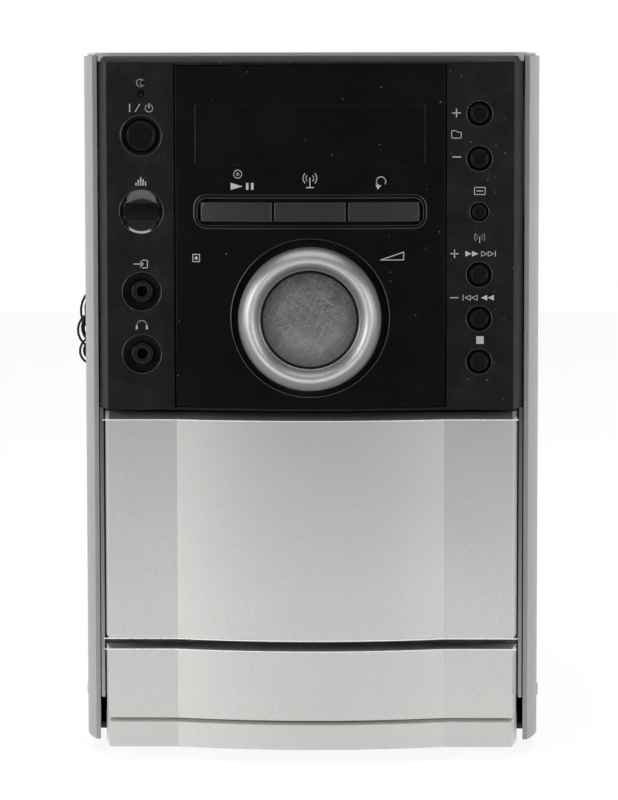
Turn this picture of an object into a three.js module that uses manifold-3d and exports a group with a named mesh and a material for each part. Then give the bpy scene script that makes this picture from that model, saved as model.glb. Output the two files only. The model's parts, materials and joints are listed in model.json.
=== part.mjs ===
// Micro hi-fi system: an upright body with a top-loading disc player, a radio,
// an amplifier and a cassette deck behind a front door and a row of keys behind a flap.
// Millimetres, +Z up, the front faces -Y. The origin is on the floor, under the middle of the body.
import * as THREE from 'three';
import { mergeVertices } from 'three/addons/utils/BufferGeometryUtils.js';
import Module from 'manifold-3d';

const wasm = await Module();
wasm.setup();

// The body and the stock that it is made of
const bodyWidth = 157;
const bodyDepth = 231;
const bodyHeight = 240.3;
const footHeight = 4.5;
const shellWall = 2;
const sideWall = 1.6;
const sheetWall = 1.2;
const boardWall = 1.6;
const glassWall = 2;
const fit = 0.3;
const play = 0.5;
const overrun = 2;

// The front block: flat columns at the sides, and a middle that swells forward as a shallow arch
const frontInset = 10;
const archShare = 0.66;
const archRise = 6;
const archSteps = 12;
const flareDepth = 14;
const doorFlare = 2.2;
const frameDepth = 24;

// The heights of the front block, from the floor up
const skirtHeight = 9.7;
const skirtBevel = 1.3;
const flapHeight = 23.7;
const doorGap = 3.2;
const doorHeight = 75;
const doorTopRise = 2.2;
const doorTopRun = 6;
const fasciaGap = 1.3;
const fasciaTopDrop = 1.3;
const fasciaTopRise = 2.1;
const fasciaTopRun = 7;

// The side panels, the cover over them and the tray below
const sideFlare = 4.2;
const sideFlareDepth = 20;
const sideTopDrop = 1;
const sideScrewRadius = 2.2;
const sideScrewHeight = 0.4;
const coverSetback = 12;
const coverLip = 0.7;
const coverOverhang = 0.9;
const trayRim = 14;
const footRadius = 9;
const footInset = 30;
const ventWidth = 2.4;
const ventPitch = 8;
const ventLength = 34;
const floorVents = 7;

// The glossy window panel in the middle of the fascia
const windowRim = 1.2;
const grooveWidth = 0.7;
const displayInset = 10.2;
const displayHeightShare = 0.16;
const displayThick = 9;
const displayShare = 0.775;

// Buttons and sockets: places in the fascia are shares of its height, from its foot
const buttonTravel = 1;
const buttonDome = 0.5;
const wellDepth = 1.2;
const stemRadius = 1.5;
const flangeRim = 1;
const flangeThick = 1;
const boardSetback = 14;
const powerRadius = 5.4;
const powerWell = 1.5;
const pairRadius = 3.5;
const pairWell = 0.85;
const displayButtonRadius = 2.5;
const displayButtonWell = 0.75;
const bowlRadius = 7.5;
const bowlDepth = 1.5;
const bassWidth = 12.1;
const bassHeight = 4.7;
const lensRadius = 0.95;
const roundButtonShares = {
  power_button: [-1, 0.776],
  folder_up_button: [1, 0.837],
  folder_down_button: [1, 0.711],
  display_button: [1, 0.56],
  tuning_up_button: [1, 0.384],
  tuning_down_button: [1, 0.259],
  stop_button: [1, 0.137],
};
const bassShare = 0.562;
const lensShare = 0.894;
const socketShares = { audio_in_jack: 0.336, phones_jack: 0.159 };
const socketWell = 6.6;
const socketWellDepth = 3;
const socketBushing = 3.7;
const socketBore = 1.9;
const socketBody = 11;

// The three bar buttons in their long recess
const barRecessInset = 6.7;
const barRecessHeightShare = 0.0915;
const barRecessRim = 2.25;
const barGap = 0.8;
const barProud = 0.4;
const barThick = 1.7;
const barMargin = 1.8;
const barShare = 0.562;
const barNames = ['disc_play_button', 'band_button', 'function_button'];

// The volume knob
const knobShare = 0.263;
const knobSizeShare = 0.2003;
const knobRoom = 2.6;
const knobProud = 12.5;
const knobBevel = 3.6;
const knobRimHeight = 6;
const knobDish = 4.15;
const capSeat = 7.2;
const capFront = 10;
const shaftRadius = 3;
const shaftLength = 6;
const encoderHalf = 7;
const bushingRadius = 4.5;

// The cassette deck
const cassetteWidth = 100.4;
const cassetteHeight = 63.8;
const cassetteThick = 12;
const cassetteRise = 7.5;
const doorHingeDepth = 4.2;
const doorHingeRise = 4.5;
const doorPinRadius = 1.1;
const doorFootDepth = 4.5;
const doorEarInset = 7.5;
const holderWall = 1.2;
const holderCoverShare = 0.85;
const holderLip = 12;
const reelHalfPitch = 21.25;
const reelRise = 29;
const reelRadius = 11;
const spindleRadius = 3.2;
const spindleFin = 1.4;
const spindleShoulderShare = 0.85;
const finLengthShare = 0.7;
const finsPerSpindle = 3;
const hubThick = 2;
const sightHalfHeight = 9.9;
const capstanX = 31;
const capstanRise = 7;
const capstanRadius = 1.2;
const flywheelRadius = 22;
const flywheelThick = 5;
const rollerRadius = 5.2;
const rollerThick = 7;
const rollerArm = 14;
const headTravel = 4;
const stripFootRise = 15;
const headWidth = 12.5;
const headHeight = 5.5;
const eraseHeadX = -15;
const headReach = 13;
const carriageHalf = 22;
const carriageHeight = 18;
const deckHalf = 57;
const motorRadius = 13;
const motorLength = 20;

// The six tape keys behind the flap
const keyCount = 6;
const keyPitch = 17;
const keyGap = 1;
const keyHeight = 11;
const keyChamfer = 2.75;
const keySetback = 4;
const keyDepth = 12;
const keyLever = 5;
const keyBayMargin = 4;
const keyRise = 17.5;
const keyShaftDepth = 54;
const keyShaftRadius = 2;

// The flap hangs on two hooked arms that reach round the top of the skirt
const flapHingeDepth = -1;
const flapHingeRise = 2;
const flapDepth = 12;
const armHalfPitch = 12;
const armWidth = 3;
const armThick = 2;
const armPinRadius = 0.8;
const armHubRadius = 1.7;
const gripHeight = 13;
const gripDepth = 3.5;
const gripWidth = 1.1;

// The disc player in the top
const discRadius = 60;
const discRoom = 2;
const lidHalf = 66;
const lidRear = 4;
const lidRim = 2.4;
const lidPinRadius = 1.2;
const ledgeDrop = 8;
const wellDrop = 18;
const turntableRadius = 15;
const hubRadius = 7.4;
const hubTopRadius = 6.3;
const turntableRise = 3.2;
const pickupHalf = 6;
const pickupInner = 24;
const pickupTravel = 30;
const mechanismHalfX = 50;
const mechanismDepth = 9;
const lensTowerRadius = 3;

// The inside of the body and the rear
const socketProud = 2;
const boardRise = 24;
const postRadius = 3;
const bossShare = 0.8;
const transformerWidth = 42;
const transformerDepth = 50;
const transformerHeight = 38;
const windingThick = 8;
const heatsinkWidth = 60;
const heatsinkHeight = 45;
const finThick = 1.6;
const finLength = 16;
const finCount = 8;
const canHalfPitch = 13.5;
const clipCount = 4;
const clipPitch = 13;
const clipBlockHeight = 18;
const clipBlockDepth = 9;
const antennaShare = 0.62;
const clipsShare = 0.3;
const antennaBlockWidth = 30;
const antennaBlockHeight = 20;
const antennaJackRadius = 4;
const antennaPinRadius = 1.2;
const glandRadius = 6;
const glandLength = 10;
const glandFlangeRadius = 7.8;
const glandInset = 21;
const glandRise = 28;

// The aerial wire: a short free stretch from its plug, and the rest tied in a hank
const wireDiameter = 1;
const plugRadius = 3.6;
const plugLength = 15;
const plugBodyLength = 10.5;
const loopsPerBunch = 3;
const hankLoops = 3 * loopsPerBunch;
const hankHalfLength = 37.4;
const hankEndRadius = 7.5;
const hankPitch = 1.8;
const hankSlant = 0.27;
const slantSteepness = 3;
const longerShare = 0.032;
const tallerShare = 0.25;
const unevenShare = 0.08;
const unevenTurn = 4;
const waistShare = 0.35;
const waistHalfLength = 17;
const hankSteps = 20;
const hankStartStep = 11;
const leadSteps = 30;

// Levels and planes that follow from the sizes above
const frontY = archRise + knobProud - bodyDepth / 2;
const rearY = bodyDepth / 2 - socketProud;
const skirtTop = footHeight + skirtHeight;
const flapFoot = skirtTop + fit;
const flapTop = flapFoot + flapHeight;
const doorFoot = flapTop + doorGap;
const doorTop = doorFoot + doorHeight;
const fasciaFoot = doorTop + doorTopRise + fasciaGap;
const fasciaTop = bodyHeight - fasciaTopDrop;
const fasciaHeight = fasciaTop - fasciaFoot;
const sideHalf = bodyWidth / 2;
const frontHalf = sideHalf - frontInset;
const archHalf = frontHalf * archShare;
const columnX = (frontHalf + archHalf) / 2;
const displayHalf = archHalf - displayInset;
const displayHeight = fasciaHeight * displayHeightShare;
const barRecessHalf = archHalf - barRecessInset;
const barRecessHeight = fasciaHeight * barRecessHeightShare;
const barHeight = barRecessHeight - 2 * barRecessRim;
const knobRadius = fasciaHeight * knobSizeShare;
const knobWell = knobRadius + knobRoom;
const knobCrestRadius = knobRadius - knobBevel;
const capRadius = knobCrestRadius - knobDish;
const doorEarX = frontHalf - doorEarInset;
const lipHalf = sideHalf - sideFlare - sideWall;
const blockHalf = lipHalf - play;
const fasciaFlare = blockHalf - frontHalf;
const sideTop = bodyHeight - sideTopDrop;
const coverFoot = sideTop - shellWall + fit + coverLip;
const archRadius = (archHalf ** 2 + archRise ** 2) / (2 * archRise);

const pieces = new THREE.Group();

const colours = {
  silver: { color: 0xc3c4c0, roughness: 0.45, metalness: 0.5 },
  matteBlack: { color: 0x1c1c1d, roughness: 0.7, metalness: 0 },
  glossBlack: { color: 0x0c0c0d, roughness: 0.12, metalness: 0 },
  darkGrey: { color: 0x3a3a3c, roughness: 0.5, metalness: 0.1 },
  steel: { color: 0xa9abad, roughness: 0.35, metalness: 0.9 },
  rubber: { color: 0x141414, roughness: 0.9, metalness: 0 },
  board: { color: 0x2f6b3a, roughness: 0.6, metalness: 0 },
  copper: { color: 0x9a5b32, roughness: 0.4, metalness: 0.6 },
  amber: { color: 0x6a1f14, roughness: 0.2, metalness: 0 },
  white: { color: 0xd9d9d4, roughness: 0.6, metalness: 0 },
};

// A closed geometry becomes a solid: shared corners are merged and flat triangles dropped.
function solidOf(geometry) {
  const bare = geometry.clone();
  for (const name of Object.keys(bare.attributes)) {
    if (name !== 'position') bare.deleteAttribute(name);
  }
  const merged = mergeVertices(bare, 1e-4);
  const points = merged.attributes.position.array;
  const index = merged.index.array;
  const triangles = [];
  let volume = 0;
  const a = new THREE.Vector3();
  const b = new THREE.Vector3();
  const c = new THREE.Vector3();
  for (let i = 0; i < index.length; i += 3) {
    const [p, q, r] = [index[i], index[i + 1], index[i + 2]];
    if (p === q || q === r || r === p) continue;
    triangles.push(p, q, r);
    a.fromArray(points, 3 * p);
    b.fromArray(points, 3 * q);
    c.fromArray(points, 3 * r);
    volume += a.dot(b.cross(c));
  }
  if (volume < 0) {
    for (let i = 0; i < triangles.length; i += 3) {
      [triangles[i], triangles[i + 1]] = [triangles[i + 1], triangles[i]];
    }
  }
  return new wasm.Manifold(new wasm.Mesh({
    numProp: 3,
    vertProperties: new Float32Array(points),
    triVerts: new Uint32Array(triangles),
  }));
}

// A solid becomes a named mesh in the group.
function piece(name, solid, colour) {
  const mesh = solid.getMesh();
  const geometry = new THREE.BufferGeometry();
  geometry.setAttribute('position', new THREE.BufferAttribute(new Float32Array(mesh.vertProperties), 3));
  geometry.setIndex(new THREE.BufferAttribute(new Uint32Array(mesh.triVerts), 1));
  const node = new THREE.Mesh(geometry, new THREE.MeshStandardMaterial(colours[colour]));
  node.name = name;
  pieces.add(node);
  return node;
}

const joined = (solids) => solids.reduce((whole, next) => whole.add(next));
const cutBy = (solid, cuts) => cuts.reduce((rest, cut) => rest.subtract(cut), solid);
const mirrored = (make) => [make(-1), make(1)];

// Basic solids, given by their limits along each axis
function boxGeometry(x0, x1, y0, y1, z0, z1) {
  const geometry = new THREE.BoxGeometry(x1 - x0, y1 - y0, z1 - z0);
  return geometry.translate((x0 + x1) / 2, (y0 + y1) / 2, (z0 + z1) / 2);
}

function box(...limits) {
  return solidOf(boxGeometry(...limits));
}

function centredBox(x, halfX, y0, y1, z, halfZ) {
  return box(x - halfX, x + halfX, y0, y1, z - halfZ, z + halfZ);
}

function outline(points) {
  return new THREE.Shape(points.map(([u, v]) => new THREE.Vector2(u, v)));
}

function extrude(shape, depth) {
  return new THREE.ExtrudeGeometry(shape, { depth, bevelEnabled: false, curveSegments: 6 });
}

// Outlines drawn in plan, in a front view and in a side view
function alongZ(shape, z0, z1) {
  return solidOf(extrude(shape, z1 - z0).translate(0, 0, z0));
}

function alongY(shape, y0, y1) {
  return solidOf(extrude(shape, y1 - y0).rotateX(Math.PI / 2).translate(0, y1, 0));
}

function alongX(shape, x0, x1) {
  const turn = new THREE.Matrix4().makeBasis(
    new THREE.Vector3(0, 1, 0), new THREE.Vector3(0, 0, 1), new THREE.Vector3(1, 0, 0));
  return solidOf(extrude(shape, x1 - x0).applyMatrix4(turn).translate(x0, 0, 0));
}

// Round solids along each axis; a second radius makes a cone, and it is the one at the far end.
function roundY(x, z, y0, y1, radius, sides = 18, farRadius = radius) {
  const geometry = new THREE.CylinderGeometry(farRadius, radius, y1 - y0, sides);
  return solidOf(geometry.translate(x, (y0 + y1) / 2, z));
}

function roundZ(x, y, z0, z1, radius, sides = 18, farRadius = radius) {
  const geometry = new THREE.CylinderGeometry(farRadius, radius, z1 - z0, sides);
  return solidOf(geometry.rotateX(Math.PI / 2).translate(x, y, (z0 + z1) / 2));
}

function roundX(y, z, x0, x1, radius, sides = 16) {
  const geometry = new THREE.CylinderGeometry(radius, radius, x1 - x0, sides);
  return solidOf(geometry.rotateZ(Math.PI / 2).translate((x0 + x1) / 2, y, z));
}

// A rounded rectangle, from its middle
function rounded(cx, cy, halfU, halfV, radius) {
  const shape = new THREE.Shape();
  const r = Math.min(radius, halfU, halfV);
  const corners = [[1, -1, -1], [1, 1, 0], [-1, 1, 1], [-1, -1, 2]];
  shape.moveTo(cx - halfU + r, cy - halfV);
  for (const [u, v, quarter] of corners) {
    const start = quarter * Math.PI / 2;
    shape.absarc(cx + u * (halfU - r), cy + v * (halfV - r), r, start, start + Math.PI / 2, false);
  }
  return shape;
}

// How far the arched middle stands in front of the flat columns at x
function rise(x) {
  if (Math.abs(x) >= archHalf) return 0;
  return Math.sqrt(archRadius ** 2 - x ** 2) - (archRadius - archRise);
}

// Points of the arch between two places, set back from the front surface
function archPoints(from, to, setback) {
  const count = Math.max(2, Math.ceil(archSteps * Math.abs(to - from) / (2 * archHalf)));
  return Array.from({ length: count + 1 }, (unused, i) => {
    const x = from + (to - from) * i / count;
    return [x, frontY - rise(x) + setback];
  });
}

// A plate between two places along the arch, bowed like it
function archPlate(from, to, setback, thick) {
  return outline([...archPoints(from, to, setback), ...archPoints(to, from, setback + thick)]);
}

// The plan of the front block: its side walls flare until flareDepth, then run straight back.
// middle is the extra setback of the arched part.
function blockPlan(flare, inset, depth, middle = 0) {
  const half = (d) => frontHalf - inset + flare * Math.min(d, flareDepth) / flareDepth;
  const flared = Math.min(depth, flareDepth);
  const side = [[half(inset), frontY + inset], [half(flared), frontY + flared]];
  if (depth > flared) side.push([half(depth), frontY + depth]);
  const crease = archHalf + (middle ? grooveWidth + shellWall : 0);
  const arch = archPoints(-archHalf, archHalf, inset + middle);
  const step = middle ? [[crease, frontY + inset], [crease, frontY + inset + middle]] : [];
  const left = [...side].reverse().map(([x, y]) => [-x, y]);
  const leftStep = step.map(([x, y]) => [-x, y]);
  return outline([...left, ...leftStep, ...arch, ...[...step].reverse(), ...side]);
}

// The top of a front moulding leans back: the upper face is shorter from front to back.
function leaningTop(flare, depth, z0, z1, run) {
  const geometry = extrude(blockPlan(flare, 0, depth), z1 - z0);
  const back = frontY + depth;
  const share = (depth - run) / depth;
  const place = geometry.attributes.position;
  for (let i = 0; i < place.count; i += 1) {
    if (place.getZ(i) > 0) place.setY(i, back + (place.getY(i) - back) * share);
  }
  return solidOf(geometry.translate(0, 0, z0));
}

// The hollow front shell: outer block less the inner one, closed at the ends that are asked for
function blockShell(flare, depth, z0, z1, closedFoot, closedTop) {
  const outer = alongZ(blockPlan(flare, 0, depth), z0, z1);
  const low = closedFoot ? z0 + shellWall : z0 - overrun;
  const high = closedTop ? z1 - shellWall : z1 + overrun;
  return outer.subtract(alongZ(blockPlan(flare, shellWall, depth + overrun), low, high));
}

const atShare = (share) => fasciaFoot + share * fasciaHeight;
const windowHalf = archHalf;
const windowFoot = fasciaFoot + windowRim;
const windowTop = fasciaTop - fasciaTopRise - windowRim;
const displayZ = atShare(displayShare);
const barZ = atShare(barShare);
const knobZ = atShare(knobShare);
const bassZ = atShare(bassShare);
const innerBack = frontY + frameDepth;
const middleSetback = glassWall + fit;

const roundButtons = Object.entries(roundButtonShares).map(([name, [side, share]]) => {
  const sizes = {
    power_button: [powerRadius, powerWell],
    display_button: [displayButtonRadius, displayButtonWell],
  };
  const [radius, well] = sizes[name] || [pairRadius, pairWell];
  return { name, x: side * columnX, z: atShare(share), radius, well };
});
const sockets = Object.entries(socketShares).map(([name, share]) => {
  return { name, x: -columnX, z: atShare(share) };
});

function makeFascia() {
  const bevelFoot = fasciaTop - fasciaTopRise;
  const outer = alongZ(blockPlan(fasciaFlare, 0, frameDepth), fasciaFoot, bevelFoot)
    .add(leaningTop(fasciaFlare, frameDepth, bevelFoot, fasciaTop, fasciaTopRun));
  const inside = alongZ(blockPlan(fasciaFlare, shellWall, frameDepth + overrun, middleSetback),
    fasciaFoot + shellWall, bevelFoot - shellWall);
  const cuts = [inside];
  // The pocket for the window panel, with a groove left at each side of it
  const pocketHalf = windowHalf + grooveWidth;
  const pocket = outline([
    ...archPoints(-pocketHalf, pocketHalf, middleSetback),
    [pocketHalf, frontY - archRise - overrun],
    [-pocketHalf, frontY - archRise - overrun],
  ]);
  cuts.push(alongZ(pocket, windowFoot - fit, windowTop + fit));
  cuts.push(centredBox(0, displayHalf + fit, frontY - overrun, frontY + boardSetback, displayZ,
    displayHeight / 2 + fit));
  for (const { x, z, radius, well } of roundButtons) {
    cuts.push(roundY(x, z, frontY, frontY + wellDepth, radius + well, 18, radius + fit));
    cuts.push(roundY(x, z, frontY - overrun, frontY + 0, radius + well, 18));
    cuts.push(roundY(x, z, frontY, frontY + shellWall + overrun, radius + fit, 18));
  }
  cuts.push(roundY(-columnX, bassZ, frontY - overrun, frontY, bowlRadius, 24));
  cuts.push(roundY(-columnX, bassZ, frontY, frontY + bowlDepth, bowlRadius, 24, bassWidth / 2 + fit));
  cuts.push(centredBox(-columnX, bassWidth / 2 + fit, frontY, frontY + shellWall + overrun, bassZ,
    bassHeight / 2 + fit));
  cuts.push(roundY(-columnX, atShare(lensShare), frontY - overrun, frontY + shellWall + overrun,
    lensRadius + fit, 12));
  for (const bar of bars()) {
    cuts.push(centredBox(bar.x, stemRadius + fit, frontY - archRise, frontY + boardSetback, barZ,
      stemRadius + fit));
  }
  cuts.push(roundY(0, knobZ, frontY - archRise, frontY + boardSetback, bushingRadius + fit, 20));
  cuts.push(box(-sideHalf, sideHalf, frontY + coverSetback - fit, innerBack + overrun,
    coverFoot - shellWall / 2 - fit, fasciaTop + overrun));
  const cups = sockets.map(({ x, z }) => roundY(x, z, frontY + shellWall / 2,
    frontY + socketWellDepth + shellWall, socketWell + shellWall, 18));
  const cupCuts = sockets.flatMap(({ x, z }) => [
    roundY(x, z, frontY - overrun, frontY + socketWellDepth, socketWell, 18),
    roundY(x, z, frontY, frontY + boardSetback, socketBushing + fit, 20),
  ]);
  piece('front_fascia', cutBy(joined([cutBy(outer, cuts), ...cups]), cupCuts), 'matteBlack');
}

// The three bars share the recess, with barGap between them.
function bars() {
  const room = 2 * (barRecessHalf - barMargin);
  const width = (room - (barNames.length - 1) * barGap) / barNames.length;
  return barNames.map((name, i) => {
    const left = -barRecessHalf + barMargin + i * (width + barGap);
    return { name, left, right: left + width, x: left + width / 2 };
  });
}

function makeWindowPanel() {
  const plate = alongZ(archPlate(-windowHalf, windowHalf, 0, glassWall), windowFoot, windowTop);
  const front = frontY - archRise - overrun;
  const recess = alongY(rounded(0, barZ, barRecessHalf, barRecessHeight / 2, barRecessHeight / 3),
    front, frontY + glassWall + overrun);
  const knobHole = roundY(0, knobZ, front, frontY + glassWall + overrun, knobWell, 40);
  piece('window_panel', cutBy(plate, [recess, knobHole]), 'glossBlack');
}

function makeButtons() {
  const flangeBack = frontY + shellWall + fit + flangeThick;
  const stemEnd = frontY + boardSetback - buttonTravel - fit;
  for (const { name, x, z, radius } of roundButtons) {
    const cap = roundY(x, z, frontY + fit, flangeBack, radius, 18);
    const dome = roundY(x, z, frontY + fit - buttonDome, frontY + fit, radius - buttonDome, 18, radius);
    const flange = roundY(x, z, flangeBack - flangeThick, flangeBack, radius + flangeRim, 18);
    piece(name, joined([cap, dome, flange, roundY(x, z, flangeBack - fit, stemEnd, stemRadius, 8)]),
      'darkGrey');
  }
  const bar = alongY(rounded(-columnX, bassZ, bassWidth / 2, bassHeight / 2, bassHeight / 6),
    frontY + fit, flangeBack);
  const rim = centredBox(-columnX, bassWidth / 2 + flangeRim, flangeBack - flangeThick, flangeBack,
    bassZ, bassHeight / 2 + flangeRim);
  const stem = roundY(-columnX, bassZ, flangeBack - fit, stemEnd, stemRadius, 8);
  piece('bass_button', joined([bar, rim, stem]), 'glossBlack');
  for (const { name, left, right, x } of bars()) {
    const face = alongZ(archPlate(left, right, -barProud, barThick), barZ - barHeight / 2,
      barZ + barHeight / 2);
    const post = roundY(x, barZ, frontY - rise(x) + barThick / 2, stemEnd, stemRadius, 8);
    piece(name, face.add(post), 'darkGrey');
  }
  const lensBack = frontY + shellWall + fit + flangeThick;
  const lensZ = atShare(lensShare);
  const lens = roundY(-columnX, lensZ, frontY, lensBack, lensRadius, 12)
    .add(roundY(-columnX, lensZ, lensBack - flangeThick, lensBack, lensRadius + flangeRim, 12));
  piece('standby_lens', lens, 'amber');
}

function makeSockets() {
  for (const { name, x, z } of sockets) {
    const floorBack = frontY + socketWellDepth + shellWall;
    const bushing = roundY(x, z, frontY + wellDepth, floorBack + fit + fit, socketBushing, 20);
    const body = centredBox(x, socketBody / 2, floorBack + fit, frontY + boardSetback - fit, z,
      socketBody / 2);
    const bore = roundY(x, z, frontY, frontY + boardSetback - shellWall, socketBore, 16);
    piece(name, bushing.add(body).subtract(bore), 'darkGrey');
  }
}

function makeDisplayAndBoard() {
  const front = frontY - rise(displayHalf) + middleSetback;
  const glass = centredBox(0, displayHalf, front, front + displayThick, displayZ, displayHeight / 2);
  const feet = mirrored((side) => centredBox(side * (displayHalf - socketBushing), stemRadius,
    front + displayThick - fit, frontY + boardSetback - fit, displayZ, displayHeight / 3));
  piece('display_module', joined([glass, ...feet]), 'darkGrey');
  const boardBack = frontY + boardSetback + boardWall;
  const board = box(-blockHalf + shellWall + sideWall + play, blockHalf - shellWall - sideWall - play,
    frontY + boardSetback, boardBack, fasciaFoot + shellWall + play, windowTop - shellWall - play);
  piece('front_circuit_board', board, 'board');
}

function makeKnob() {
  const base = frontY - archRise + middleSetback - fit;
  const front = (height) => base - height;
  const crest = knobProud + middleSetback - fit;
  const profile = [
    [shaftRadius + fit, base], [knobRadius, base], [knobRadius, front(knobRimHeight)],
    [(knobRadius + knobCrestRadius) / 2, front((knobRimHeight + crest) / 2 + buttonDome)],
    [knobCrestRadius, front(crest)], [capRadius + wellDepth, front(capFront + fit)],
    [capRadius + fit, front(capFront)], [capRadius + fit, front(capSeat)],
    [shaftRadius + fit, front(capSeat)], [shaftRadius + fit, base],
  ];
  const ring = new THREE.LatheGeometry(profile.map(([r, y]) => new THREE.Vector2(r, y)), 40);
  piece('volume_knob', solidOf(ring.translate(0, 0, knobZ)), 'silver');
  piece('knob_cap', roundY(0, knobZ, front(capFront), front(capSeat + fit), capRadius, 40), 'darkGrey');
  const floorBack = frontY - archRise + middleSetback + shellWall;
  const body = centredBox(0, encoderHalf, floorBack + fit, frontY + boardSetback - fit, knobZ, encoderHalf);
  const bushing = roundY(0, knobZ, base + fit, floorBack + fit + fit, bushingRadius, 20);
  const shaft = roundY(0, knobZ, front(shaftLength), floorBack, shaftRadius, 16);
  piece('volume_encoder', joined([body, bushing, shaft]), 'steel');
}

const deckFrontY = innerBack + fit;
const deckBackY = deckFrontY + sheetWall;
const deckOpenHalf = cassetteWidth / 2 + holderWall + overrun;
const deckOpenFoot = doorFoot - play;
const deckOpenTop = doorTop + fit;
const cassetteFoot = doorFoot + cassetteRise;
const reelZ = cassetteFoot + reelRise;
const capstanZ = cassetteFoot + capstanRise;
const keyFoot = footHeight + keyRise;
const keyShaftY = frontY + keyShaftDepth;
const keyShaftZ = keyFoot + keyHeight / 2;
const keyBayHalf = keyCount * keyPitch / 2 + keyGap;
const flapHingeY = frontY + flapHingeDepth;
const flapHingeZ = footHeight + flapHingeRise;
const armReach = Math.hypot(flapFoot - flapHingeZ, shellWall) + fit + armThick;
const doorHingeY = frontY + doorHingeDepth;
const doorHingeZ = doorFoot + doorHingeRise;
const backPlateY = innerBack - shellWall;

// The lower frame: skirt, floor, side strips and the plate round the deck and the key bay
function makeLowerFrame() {
  const bevelFoot = skirtTop - skirtBevel;
  const skirt = alongZ(blockPlan(doorFlare, 0, frameDepth), footHeight, bevelFoot)
    .add(leaningTop(doorFlare, frameDepth, bevelFoot, skirtTop, shellWall))
    .subtract(alongZ(blockPlan(doorFlare, shellWall, frameDepth + overrun), footHeight + shellWall,
      skirtTop + overrun));
  const stripFoot = footHeight + stripFootRise;
  const plateTop = fasciaFoot - fit;
  const stripInner = frontHalf + doorFlare + fit;
  const strips = mirrored((side) => {
    const [x0, x1] = [side * stripInner, side * blockHalf].sort((a, b) => a - b);
    return box(x0, x1, frontY + coverSetback, innerBack, stripFoot, plateTop);
  });
  const plate = box(-blockHalf, blockHalf, backPlateY, innerBack, stripFoot, plateTop);
  const lowPlate = box(-frontHalf, frontHalf, backPlateY, innerBack, footHeight, stripFoot + overrun);
  const openings = [
    box(-deckOpenHalf, deckOpenHalf, frontY, innerBack + overrun, deckOpenFoot, deckOpenTop),
    box(-keyBayHalf, keyBayHalf, frontY + flapDepth, innerBack + overrun, keyFoot - keyBayMargin,
      keyFoot + keyHeight + keyGap),
  ];
  const ears = mirrored((side) => centredBox(side * doorEarX, shellWall / 2, doorHingeY - doorPinRadius,
    backPlateY + fit, doorHingeZ, doorPinRadius + fit));
  const earFeet = mirrored((side) => centredBox(side * doorEarX, shellWall / 2, frontY + flareDepth,
    backPlateY + fit, (deckOpenFoot + doorHingeZ) / 2, (doorHingeZ - deckOpenFoot) / 2 + fit));
  const earPins = mirrored((side) => roundX(doorHingeY, doorHingeZ, side * doorEarX - 2 * shellWall,
    side * doorEarX + 2 * shellWall, doorPinRadius));
  // Two forks behind the skirt hold the pins that the flap's arms turn on
  const forkReach = armWidth / 2 + fit + shellWall;
  const forks = [-1, 1].flatMap((side) => mirrored((half) => {
    const x = side * armHalfPitch + half * (armWidth / 2 + fit + shellWall / 2);
    return box(x - shellWall / 2, x + shellWall / 2, frontY - archRise + shellWall, flapHingeY + armHubRadius,
      footHeight, flapHingeZ + armHubRadius);
  }));
  const forkPins = mirrored((side) => roundX(flapHingeY, flapHingeZ, side * armHalfPitch - forkReach,
    side * armHalfPitch + forkReach, armPinRadius, 12));
  const body = cutBy(joined([plate, lowPlate, ...strips]), openings);
  // Slots in the floor give the arms their swing
  const slots = mirrored((side) => centredBox(side * armHalfPitch, armWidth / 2 + fit,
    frontY - archRise + shellWall, flapHingeY + armReach + fit, footHeight, shellWall + overrun));
  piece('lower_frame', joined([cutBy(skirt, slots), body, ...ears, ...earFeet, ...earPins, ...forks,
    ...forkPins]), 'silver');
}

// The flap over the tape keys: a hollow moulding on two hooked arms, with a grip in its right side
function makeFlap() {
  const shell = blockShell(doorFlare, flapDepth, flapFoot, flapTop, false, true);
  const gripZ = (flapFoot + flapTop) / 2 + gripHeight / 5;
  const wallX = frontHalf + doorFlare * gripDepth / flareDepth;
  const grip = centredBox(wallX, gripWidth, frontY + gripDepth / 2, frontY + 2 * gripDepth, gripZ,
    gripHeight / 2);
  const hookOuter = armReach;
  const hookInner = armReach - armThick;
  const rootAngle = 5 * Math.PI / 12;
  const arms = mirrored((side) => {
    const hook = new THREE.Shape();
    hook.absarc(flapHingeY, flapHingeZ, hookOuter, Math.PI - rootAngle, 0, true);
    hook.absarc(flapHingeY, flapHingeZ, hookInner, 0, Math.PI - rootAngle, false);
    const x0 = side * armHalfPitch - armWidth / 2;
    const x1 = x0 + armWidth;
    const bend = alongX(hook, x0, x1);
    const spoke = box(x0, x1, flapHingeY, flapHingeY + hookInner + armThick / 2,
      flapHingeZ - armHubRadius / 2, flapHingeZ + armHubRadius / 2);
    const hub = roundX(flapHingeY, flapHingeZ, x0, x1, armHubRadius, 16);
    const root = box(x0, x1, frontY - archRise + shellWall / 2, flapHingeY,
      flapHingeZ + hookInner, flapHingeZ + hookOuter);
    return joined([bend, spoke, hub, root]);
  });
  const bores = mirrored((side) => roundX(flapHingeY, flapHingeZ, side * (armHalfPitch - armWidth),
    side * (armHalfPitch + armWidth), armPinRadius + fit, 12));
  piece('key_flap', cutBy(joined([shell.subtract(grip), ...arms]), bores), 'silver');
}

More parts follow.
